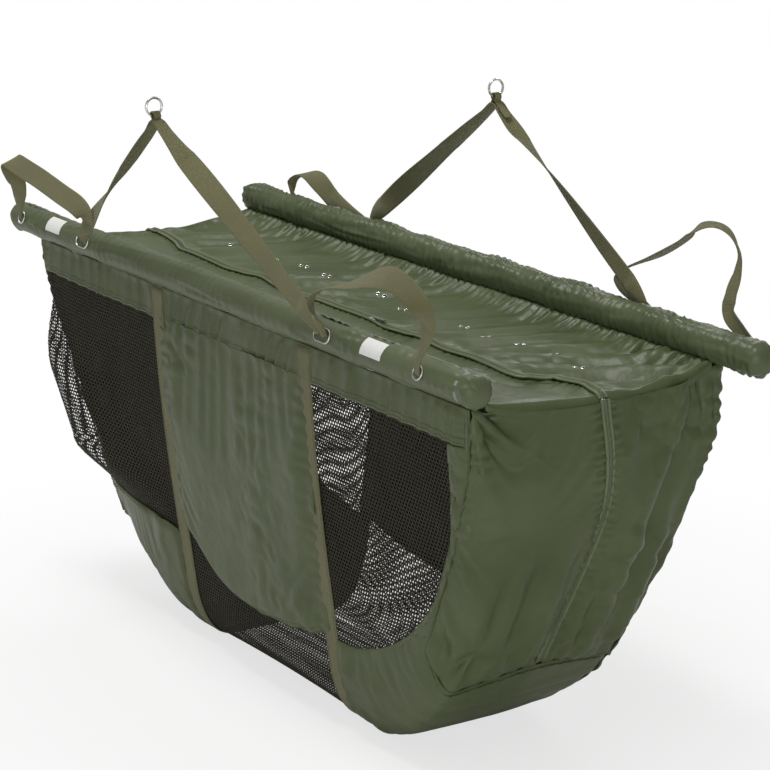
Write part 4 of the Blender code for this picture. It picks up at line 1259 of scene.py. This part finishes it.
def endDetail(point):
    # short gathers square to the zip and the seams, pleats at the foot, and creases between
    share = clamp((point.z - bag["floorZ"] - bag["endRise"]) / (wallTopZ - bag["endRise"]))
    toZip = abs(point.y - zipEndY(share)) - zipCloth["tape"]
    beside = max(0.0, toZip)
    toSeam = wallTopY - ends["seamInset"] - abs(point.y)
    toFoot = point.z - ends["footPleatZ"]
    atZip = gathers(point.z / ends["zipPuckerPitch"], point.y * 8, 3.0, beside, ends["zipPuckerReach"])
    atFoot = gathers(point.y / ends["footPleatPitch"], point.z * 3, 2.0, toFoot, ends["footPleatReach"])
    atSeam = 0.0
    if point.z > ends["seamPuckerFoot"]:
        reach = ends["seamPuckerReach"]
        atSeam = gathers(point.z / ends["seamPuckerPitch"], point.y * 4, 6.0, toSeam, reach)
    creases = facets(point.y, point.z, 31.0 if point.x > 0 else 47.0)
    creases *= smoothStep(abs(point.y - ends["creaseY"]), *ends["creaseRoom"])
    return (ends["zipPucker"] * atZip + ends["footPleat"] * atFoot + ends["creases"] * creases
            + ends["seamPucker"] * atSeam)


def underShoulder(s, v):
    # the end panels stop where the shoulder's cloth comes down
    return v * (1 - shoulderRadius(s * coverY) / (wallTopZ - bag["endRise"]))


def endPieces():
    for hand, word in ((-1, "left"), (1, "right")):
        for part, share in (("near", -1), ("far", 1)):
            rows = steps(ends["rows"])
            inner = [endShare(v, zipEndY(v) + share * zipCloth["room"], hand) for v in rows]

            def place(i, j):
                u = i / ends["columns"]
                s = mix(-1.0, inner[j], u) if share < 0 else mix(inner[j], 1.0, u)
                return endCloth(s, underShoulder(s, rows[j]), hand, ends["lift"])

            bm = gridMesh(ends["columns"], ends["rows"], place)
            if hand < 0:
                bmesh.ops.reverse_faces(bm, faces=bm.faces)
            piece = settle(addPiece(f"{word}_end_{part}_cloth", bm, "nylon"), ends["slack"], endDetail)
            thicken(piece, ends["cloth"])
            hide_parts(f"{word}_end_{part}_panel")
            closes(piece)
            path = []
            for v in steps(150, 0.004, 0.97):
                s = endShare(v, zipEndY(v) + ends["stitchOffset"] * share, hand)
                path.append(endCloth(s, v, hand, 0.001))
            closes(stitchPiece(f"{word}_end_{part}_stitches", piece, [path]))


def closes(piece):
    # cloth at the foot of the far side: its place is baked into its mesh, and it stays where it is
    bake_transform(piece)


shoulder = {"radius": 0.014, "corner": 0.002, "overlap": 0.006, "lift": 0.0006, "steps": 7}


def shoulderRadius(y):
    return mix(shoulder["radius"], shoulder["corner"], clamp(abs(y) / coverY) ** 5)


def topPoint(u, y, lift):
    # u runs from -1 to 1 across the top, and on to 2 round the shoulder and 2.5 down over the end of the bag
    radius = shoulderRadius(y)
    across = clamp(u, -1.0, 1.0) * (coverEndX(y) - radius + shoulder["lift"])
    point = topCloth(across, y, lift)
    past = abs(u) - 1
    if past > 0:
        turn = math.pi / 2 * min(1.0, past)
        point.x += math.copysign(radius * math.sin(turn), u)
        point.z -= radius * (1 - math.cos(turn)) + 2 * shoulder["overlap"] * max(0.0, past - 1)
    return point


def onShoulder(point):
    return abs(point.x) > coverEndX(point.y) - 0.6 * shoulderRadius(point.y)


tops = {"columns": 190, "cloth": 0.0009, "lift": 0.0002,
        "near": {"rows": 14, "slack": 0.020}, "far": {"rows": 34, "slack": 0.024},
        "gather": 0.0024, "gatherPitch": 0.015, "gatherReach": 0.026,
        "stripGather": 0.0010, "stripPitch": 0.017, "stripReach": 0.016,
        "pucker": 0.0007, "puckerPitch": 0.012, "puckerReach": 0.010,
        "creases": 0.0060, "farRoom": 0.006, "zipRoom": 0.03, "stitchOffset": 0.0075, "stitchX": 0.53}


def topDetail(point):
    # gathers at the far sleeve, at the near sleeve and square to the zip, and creases between
    fromFar = coverY - point.y
    toZip = abs(point.y - zipTopY(point.x)) - zipCloth["tape"]
    gather = gathers(point.x / tops["gatherPitch"], point.y * 20, 3.0, fromFar, tops["gatherReach"])
    strip = gathers(point.x / tops["stripPitch"], point.y * 15, 9.0, coverY + point.y, tops["stripReach"])
    beside = max(0.0, toZip)
    pucker = gathers(point.x / tops["puckerPitch"], point.y * 10, 4.0, beside, tops["puckerReach"])
    held = smoothStep(fromFar, 0.0, tops["farRoom"])
    held *= smoothStep(coverEndX(point.y) - abs(point.x), 0.0, folds["endRoom"])
    creases = facets(point.x * 0.7, point.y, 61.0) * smoothStep(toZip, 0.0, tops["zipRoom"])
    return held * (tops["gather"] * gather + tops["stripGather"] * strip + tops["pucker"] * pucker
                   + tops["creases"] * creases)


def topPiece(name, part, share):
    # the near strip (share -1) or the cover (share 1), from the zip to its sleeve
    rows = tops[part]["rows"]
    past = [1 + n / shoulder["steps"] for n in range(1, shoulder["steps"] + 1)] + [2.25, 2.5]
    columns = [-u for u in reversed(past)] + steps(tops["columns"], -1.0, 1.0) + past

    def place(i, j):
        u = columns[i]
        edge = zipTopY(clamp(u, -1.0, 1.0) * coverEndX(zipLine["topY"])) + share * zipCloth["room"]
        y = mix(-coverY, edge, j / rows) if share < 0 else mix(edge, coverY, j / rows)
        return topPoint(u, y, tops["lift"])

    piece = addPiece(name, gridMesh(len(columns) - 1, rows, place), "nylon")
    thicken(settle(piece, tops[part]["slack"], topDetail, onShoulder), tops["cloth"])
    return piece


def coverPieces():
    strip = topPiece("near_strip_cloth", "near", -1)
    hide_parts("near_cover_strip")
    closes(strip)
    top = topPiece("cover_cloth", "far", 1)
    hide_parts("cover")
    withCover(top)
    for part, cloth, share, carry in (("near", strip, -1, closes), ("far", top, 1, withCover)):
        path = [topCloth(x, zipTopY(x) + share * tops["stitchOffset"], 0.001)
                for x in steps(260, -tops["stitchX"], tops["stitchX"])]
        carry(stitchPiece(f"zip_top_{part}_stitches", cloth, [path]))
    drainPieces(top)


def withCover(piece):
    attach(piece, "cover")
    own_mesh(piece)


drains = {"first": -0.420, "pitch": 0.0655, "count": 15, "y": 0.064, "stagger": 0.007, "radius": 0.0022,
          "pair": 0.0095, "lift": 0.0001, "hole": 0.8, "rings": ((1.25, 0.0007), (1.6, 0.0))}


def drainPieces(cloth):
    # pairs of tiny steel eyelets that let water off the cover, each with a near-black disc inside: a painted
    # shadow where the hole would show
    tree = surfaceTree(cloth)
    radius, lift = drains["radius"], outerLift[cloth.name] + drains["lift"]
    rims, holes = bmesh.new(), bmesh.new()
    for n in range(drains["count"]):
        for k in (-1, 1):
            x = drains["first"] + drains["pitch"] * n + k * drains["pair"] / 2
            y = drains["y"] + drains["stagger"] * math.sin(2.3 * n) + 0.002 * k
            spot, normal, _, _ = tree.find_nearest(Vector((x, y, coverZ(y))))
            turn = normal.to_track_quat("Z", "Y").to_matrix().to_4x4()
            turn.translation = spot + normal * lift
            # a near-black disc, a painted shadow inside each eyelet
            bmesh.ops.create_cone(holes, cap_ends=True, segments=10, radius1=radius * drains["hole"],
                                  radius2=radius * drains["hole"], depth=0.0005, matrix=turn)
            made = bmesh.ops.create_circle(rims, segments=10, radius=radius, matrix=turn)["verts"]
            edges = list({edge for vert in made for edge in vert.link_edges})
            for growth, rise in drains["rings"]:
                ring = bmesh.ops.extrude_edge_only(rims, edges=edges)["geom"]
                edges = [part for part in ring if isinstance(part, bmesh.types.BMEdge)]
                for vert in {vert for edge in edges for vert in edge.verts}:
                    flat = vert.co - turn.translation
                    flat -= normal * flat.dot(normal)
                    vert.co = turn.translation + flat.normalized() * radius * growth + normal * rise
    for name, bm, finish in (("drain_eyelets", rims, "steel"), ("drain_hole_shadows", holes, "hole")):
        piece = addPiece(name, bm, finish)
        if finish == "steel":
            thicken(piece, 0.0003, 0.0)
        withCover(piece)


def zipStations(hand):
    # down one end of the bag: (point, outward)
    rows = []
    for v in steps(90, 0.985, 0.006):
        s = endShare(v, zipEndY(v), hand)
        point = endCloth(s, v, hand, zipCloth["lift"])
        rows.append((point, (endCloth(s, v, hand, zipCloth["lift"] + 0.01) - point).normalized()))
    return rows


def zipTopStations(count):
    rows = []
    for u in steps(count, -zipCloth["topReach"], zipCloth["topReach"]):
        x = clamp(u, -1.0, 1.0) * coverEndX(zipLine["endY"])
        turn = math.pi / 2 * clamp(abs(u) - 1)
        rows.append((topPoint(u, zipTopY(x), zipCloth["topLift"]),
                     Vector((math.copysign(math.sin(turn), u), 0, math.cos(turn)))))
    return rows


def ridgeProfile(centre, width, height, count=6):
    outline = [(centre + width / 2 * math.cos(a), height * math.sin(a)) for a in steps(count, 0.0, math.pi)]
    return outline[::-1]


def zipPieces():
    runs = {
        "left_end": framed(zipStations(-1)),
        "top": framed(zipTopStations(640)),
        "right_end": framed(zipStations(1)),
    }
    offset = zipCloth["flapOffset"]
    for word, stations in runs.items():
        # the flaps take the lighter nylon, a painted highlight along the zip
        strips = {
            "coil": (ridgeProfile(0.0, zipCloth["coil"], zipCloth["coilHeight"]), "zip"),
            "near_flap": (ridgeProfile(-offset, zipCloth["flap"], zipCloth["flapHeight"]), "flapHighlightNylon"),
            "far_flap": (ridgeProfile(offset, zipCloth["flap"], zipCloth["flapHeight"]), "flapHighlightNylon"),
        }
        for part, (profile, finish) in strips.items():
            piece = sweepPiece(f"zip_{word}_{part}", stations, lambda i: profile, finish)
            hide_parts("zip_coil")
            closes(piece)
        teeth = bmesh.new()
        travelled = 0.0
        for (before, across, up), (after, _, _) in zip(stations, stations[1:]):
            span = (after - before).length
            while travelled < span:
                run, size = (after - before).normalized(), zipCloth["toothSize"]
                addBlock(teeth, before.lerp(after, travelled / span) + up * zipCloth["coilHeight"],
                         run * size, across * zipCloth["toothWidth"], up * size)
                travelled += zipCloth["toothPitch"]
            travelled -= span
        piece = addPiece(f"zip_{word}_teeth", teeth, "zip", smooth=False)
        closes(piece)


def sliderPieces():
    # the slider and its puller, on the sewn line of the zip
    for word, finish, slot in (("zip_slider", "steel", "metal"), ("zip_puller", "zip", "zip")):
        bm = bmesh.new()
        bm.from_mesh(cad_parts[word].data)
        bmesh.ops.remove_doubles(bm, verts=bm.verts, dist=0.000002)
        bmesh.ops.translate(bm, verts=bm.verts, vec=(0, zipLine["topY"] - zipLine["solidY"], 0))
        piece = addPiece(f"{word}_on_zip", bm, finish, smooth=False)
        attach(piece, word)
        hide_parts(word)


# Lifting straps and handles: webbing that twists from its eyelets

loops = {
    "width": 0.030, "foot": 0.014, "thickness": 0.0015, "cut": 0.029, "cup": 1.07,
    "footAngle": math.radians(72), "footOut": 0.0003 + 2 * 0.0011 - 0.0004,
    "footPair": 0.017, "strapLeft": -0.374, "strapRight": 0.248, "tail": -0.579, "flush": 0.463,
    "apexX": -0.070, "rise": 0.225, "nearLean": math.radians(11), "farLean": math.radians(-3),
    "handleLean": math.radians(20),
}


def smoothRoute(points, perSpan):
    padded = [points[0], *points, points[-1]]
    route = []
    for n in range(1, len(padded) - 2):
        before, start, end, after = padded[n - 1:n + 3]
        for k in range(perSpan):
            t = k / perSpan
            route.append([
                0.5 * (2 * b + (c - a) * t + (2 * a - 5 * b + 4 * c - d) * t * t
                       + (3 * b - a - 3 * c + d) * t ** 3)
                for a, b, c, d in zip(before, start, end, after)])
    route.append(list(points[-1]))
    return route


def footLine():
    radius = sleeveRadius + loops["footOut"]
    angle = loops["footAngle"]
    return Vector((0, -barY - radius * math.sin(angle), barZ + radius * math.cos(angle)))


def leaning(points, side, lean, perSpan):
    foot = footLine()
    rows = []
    for x, height, width, turn in smoothRoute(points, perSpan):
        spot = Vector((x, foot.y - height * math.sin(lean), foot.z + height * math.cos(lean)))
        rows.append((turnedHalf(spot, side), width, turn))
    return rows


def webbingLoop(name, rows, node, body):
    stations, widths = [], []
    for n, (point, width, turn) in enumerate(rows):
        run = (rows[min(n + 1, len(rows) - 1)][0] - rows[max(n - 1, 0)][0]).normalized()
        across = (Vector((0, 1, 0)) - run * run.y).normalized()
        across = Matrix.Rotation(turn, 3, run) @ across
        stations.append((point, across, run.cross(across).normalized()))
        widths.append(width)
    full = loops["cut"]
    widths = [min(width, full * 0.999) for width in widths]

    def profileAt(i):
        return cuppedProfile(widths[i], min(full, widths[i] * loops["cup"]), loops["thickness"])

    piece = sweepPiece(name, stations, profileAt, "webbing")
    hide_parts(node)
    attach(piece, body)


def liftingStrap(side, name, lean):
    left, right, flat = loops["strapLeft"], loops["strapRight"], math.pi / 2
    foot, wide = loops["foot"] * 0.88, loops["width"]
    leg = [(0.0, 0.0, foot, 1.0), (0.01, 0.05, 0.018, 1.0), (0.10, 0.15, 0.029, 0.96)]
    thin = [(0.5, 0.53, wide, 0.30), (0.8, 0.81, 0.026, 0.12), (0.93, 0.93, 0.020, 0.06)]
    full = [(0.30, 0.34, wide, 0.86), (0.55, 0.58, wide, 0.62), (0.76, 0.77, wide, 0.30),
            (0.86, 0.86, 0.026, 0.04), (0.94, 0.94, 0.020, 0.0)]
    apex, rise = loops["apexX"], loops["rise"]
    ways = (thin, full) if side > 0 else (full, thin)
    points = [(left + along * (apex - left), up * rise, width, turn * flat) for along, up, width, turn in
              leg + ways[0]]
    points.append((apex, rise, 0.017, 0.0))
    points += [(right + along * (apex - right), up * rise, width, turn * flat)
               for along, up, width, turn in (leg + ways[1])[::-1]]
    webbingLoop(f"{name}_lifting_webbing", leaning(points, side, lean, 14), f"{name}_lifting_strap",
                f"{name}_lifting_strap")


def handlePieces(side, name):
    # each route gives x, height, width and turn in degrees, from one eyelet to the other
    tail, inner = loops["tail"], loops["strapLeft"] - loops["footPair"]
    start, flush = loops["strapRight"] + loops["footPair"], loops["flush"]
    foot, wide = loops["foot"] * 0.88, loops["width"]
    folded = [
        (tail, 0.0, foot, 90), (tail + 0.006, 0.012, foot, 94), (tail + 0.020, 0.034, 0.024, 108),
        (tail + 0.036, 0.058, wide, 122), (tail + 0.038, 0.080, wide, 146),
        (tail + 0.038, 0.094, wide, 174), (tail + 0.047, 0.103, wide, 202),
        (tail + 0.062, 0.101, wide, 226), (tail + 0.088, 0.096, wide, 235),
        (tail + 0.130, 0.088, wide, 236), (tail + 0.185, 0.074, wide, 238),
        (inner + 0.040, 0.063, wide, 240), (inner + 0.056, 0.048, wide, 250),
        (inner + 0.044, 0.028, 0.024, 262), (inner + 0.012, 0.012, foot, 269), (inner, 0.0, foot, 270)]
    arched = [
        (start, 0.0, foot, 90), (start - 0.003, 0.012, 0.018, 84), (start - 0.006, 0.030, 0.029, 66),
        (start, 0.050, wide, 42), (start + 0.022, 0.067, wide, 14), (start + 0.068, 0.085, wide, 4),
        (start + 0.122, 0.102, wide, 24), (start + 0.170, 0.119, wide, 46),
        (start + 0.206, 0.126, wide, 58), (flush + 0.034, 0.119, wide, 64),
        (flush + 0.054, 0.102, wide, 68), (flush + 0.058, 0.082, wide, 74),
        (flush + 0.048, 0.060, 0.027, 100), (flush + 0.028, 0.036, 0.024, 118),
        (flush + 0.008, 0.014, 0.016, 98), (flush, 0.0, foot, 90)]
    standing = [
        (inner, 0.0, foot, 90), (inner + 0.026, 0.008, 0.018, 80), (inner + 0.072, 0.020, 0.024, 60),
        (inner + 0.082, 0.034, wide, 30), (inner + 0.064, 0.048, wide, 8), (inner + 0.022, 0.070, wide, 0),
        (inner - 0.018, 0.098, wide, 8), (inner - 0.032, 0.115, wide, 28), (inner - 0.056, 0.124, wide, 10),
        (inner - 0.080, 0.124, wide, -14), (inner - 0.104, 0.114, wide, -42),
        (inner - 0.121, 0.098, wide, -60), (inner - 0.128, 0.076, wide, -68),
        (inner - 0.128, 0.050, wide, -76), (inner - 0.134, 0.026, 0.026, -84),
        (tail + 0.024, 0.010, 0.018, -90), (tail, 0.0, foot, -90)]
    low = [
        (flush, 0.0, foot, 90), (flush + 0.016, 0.010, 0.018, 60), (flush + 0.024, 0.026, 0.026, 20),
        (flush + 0.004, 0.041, wide, 4), (flush - 0.024, 0.043, wide, 22), (flush - 0.060, 0.032, wide, 58),
        (flush - 0.098, 0.018, 0.028, 74), (flush - 0.148, 0.008, 0.020, 84), (start, 0.0, foot, 90)]
    routes = {"left": folded, "right": arched} if side > 0 else {"right": standing, "left": low}
    for word, route in routes.items():
        points = [(x, height, width, math.radians(turn)) for x, height, width, turn in route]
        webbingLoop(f"{name}_{word}_handle_webbing", leaning(points, side, loops["handleLean"], 10),
                    f"{name}_{word}_handle", f"{name}_{word}_handle")


# Camera, light and floor

studio = {"target": (0.090, 0.0, 0.421), "azimuth": 56.379, "elevation": 15.69, "distance": 3.321,
          "focalPixels": 2500.0, "framePixels": 770.0, "sensor": 36.0}


def makeCamera():
    data = bpy.data.cameras.new("camera")
    data.sensor_width = studio["sensor"]
    data.lens = studio["focalPixels"] / studio["framePixels"] * studio["sensor"]
    made = bpy.data.objects.new("camera", data)
    scene.collection.objects.link(made)
    azimuth, elevation = math.radians(studio["azimuth"]), math.radians(studio["elevation"])
    back = Vector((math.sin(azimuth) * math.cos(elevation), -math.cos(azimuth) * math.cos(elevation),
                   math.sin(elevation)))
    made.location = Vector(studio["target"]) + back * studio["distance"]
    made.rotation_euler = (-back).to_track_quat("-Z", "Y").to_euler()
    scene.camera = made


def areaLamp(name, place, size, power):
    data = bpy.data.lights.new(name, "AREA")
    data.shape = "DISK"
    data.size = size
    data.energy = power
    made = bpy.data.objects.new(name, data)
    scene.collection.objects.link(made)
    made.location = place
    aim = Vector((0, 0, 0.35)) - Vector(place)
    made.rotation_euler = aim.to_track_quat("-Z", "Y").to_euler()


def mixShaders(tree, output, share, first, second):
    blend = addNode(tree, "ShaderNodeMixShader")
    for socket, value in zip(blend.inputs, (share, first.outputs[0], second.outputs[0])):
        feed(tree, socket, value)
    feed(tree, output.inputs["Surface"], blend.outputs[0])


def makeStudio():
    areaLamp("key", (-0.6, -0.6, 3.4), 0.8, 60.0)
    areaLamp("fill", (3.0, -2.0, 0.8), 1.4, 28.0)
    areaLamp("back", (-1.6, 2.2, 2.2), 1.2, 14.0)
    world = bpy.data.worlds.new("studio")
    world.use_nodes = True
    tree = world.node_tree
    output = tree.nodes["World Output"]
    soft, white = tree.nodes["Background"], addNode(tree, "ShaderNodeBackground")
    for glow, colour, strength in ((soft, (1.0, 1.0, 0.96), 0.40), (white, (1.0, 1.0, 1.0), 1.0)):
        feed(tree, glow.inputs["Color"], colour)
        feed(tree, glow.inputs["Strength"], strength)
    paths = addNode(tree, "ShaderNodeLightPath")
    seen = mathNode(tree, "MAXIMUM", paths.outputs["Is Camera Ray"], paths.outputs["Is Transmission Ray"])
    mixShaders(tree, output, seen, soft, white)
    scene.world = world

    bm = bmesh.new()
    bmesh.ops.create_grid(bm, x_segments=1, y_segments=1, size=6.0)
    bmesh.ops.translate(bm, verts=bm.verts, vec=(0, 0, -0.0005))
    mesh = bpy.data.meshes.new("floor")
    bm.to_mesh(mesh)
    bm.free()
    floor = bpy.data.objects.new("floor", mesh)
    scene.collection.objects.link(floor)
    made, tree, place = newMaterial("pale floor")
    finishMaterial(made, Base_Color=(0.86, 0.86, 0.86), Roughness=0.9, Specular_IOR_Level=0.1)
    glow = addNode(tree, "ShaderNodeEmission")
    length = addNode(tree, "ShaderNodeVectorMath", operation="LENGTH")
    feed(tree, length.inputs[0], place)
    away = addNode(tree, "ShaderNodeMapRange", interpolation_type="SMOOTHSTEP")
    values = {"From Min": 0.35, "From Max": 1.1, "To Min": 0.70, "Value": length.outputs["Value"]}
    for label, value in values.items():
        feed(tree, away.inputs[label], value)
    paths = addNode(tree, "ShaderNodeLightPath")
    share = mathNode(tree, "MULTIPLY", away.outputs[0], paths.outputs["Is Camera Ray"])
    mixShaders(tree, tree.nodes["Material Output"], share, tree.nodes["Principled BSDF"], glow)
    mesh.materials.append(made)
    floor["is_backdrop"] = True


scene = bpy.context.scene
scene.view_settings.view_transform = "Standard"
makeCamera()
makeStudio()
print("studio made")

for side, name, lean in ((1, "near", loops["nearLean"]), (-1, "far", loops["farLean"])):
    sleevePiece(side, name)
    wallPieces(side, name, 11.0 if side > 0 else 37.0)
    liftingStrap(side, name, lean)
    handlePieces(side, name)
    print(name, "side made")
endPieces()
coverPieces()
zipPieces()
sliderPieces()
print("ends, cover and zip made")

nodeFinish = {"float_bar": "foam", "stiffener_rod": "rod", "eyelet": "steel", "ring": "steel",
              "ring_tab": "tab", "zip_slider": "steel", "zip_puller": "zip", "label": "label"}
for nodeName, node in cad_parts.items():
    for ending, finish in nodeFinish.items():
        if nodeName.endswith(ending) and not node.hide_render:
            node.data.materials.clear()
            node.data.materials.append(materials[finish])

low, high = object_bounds()
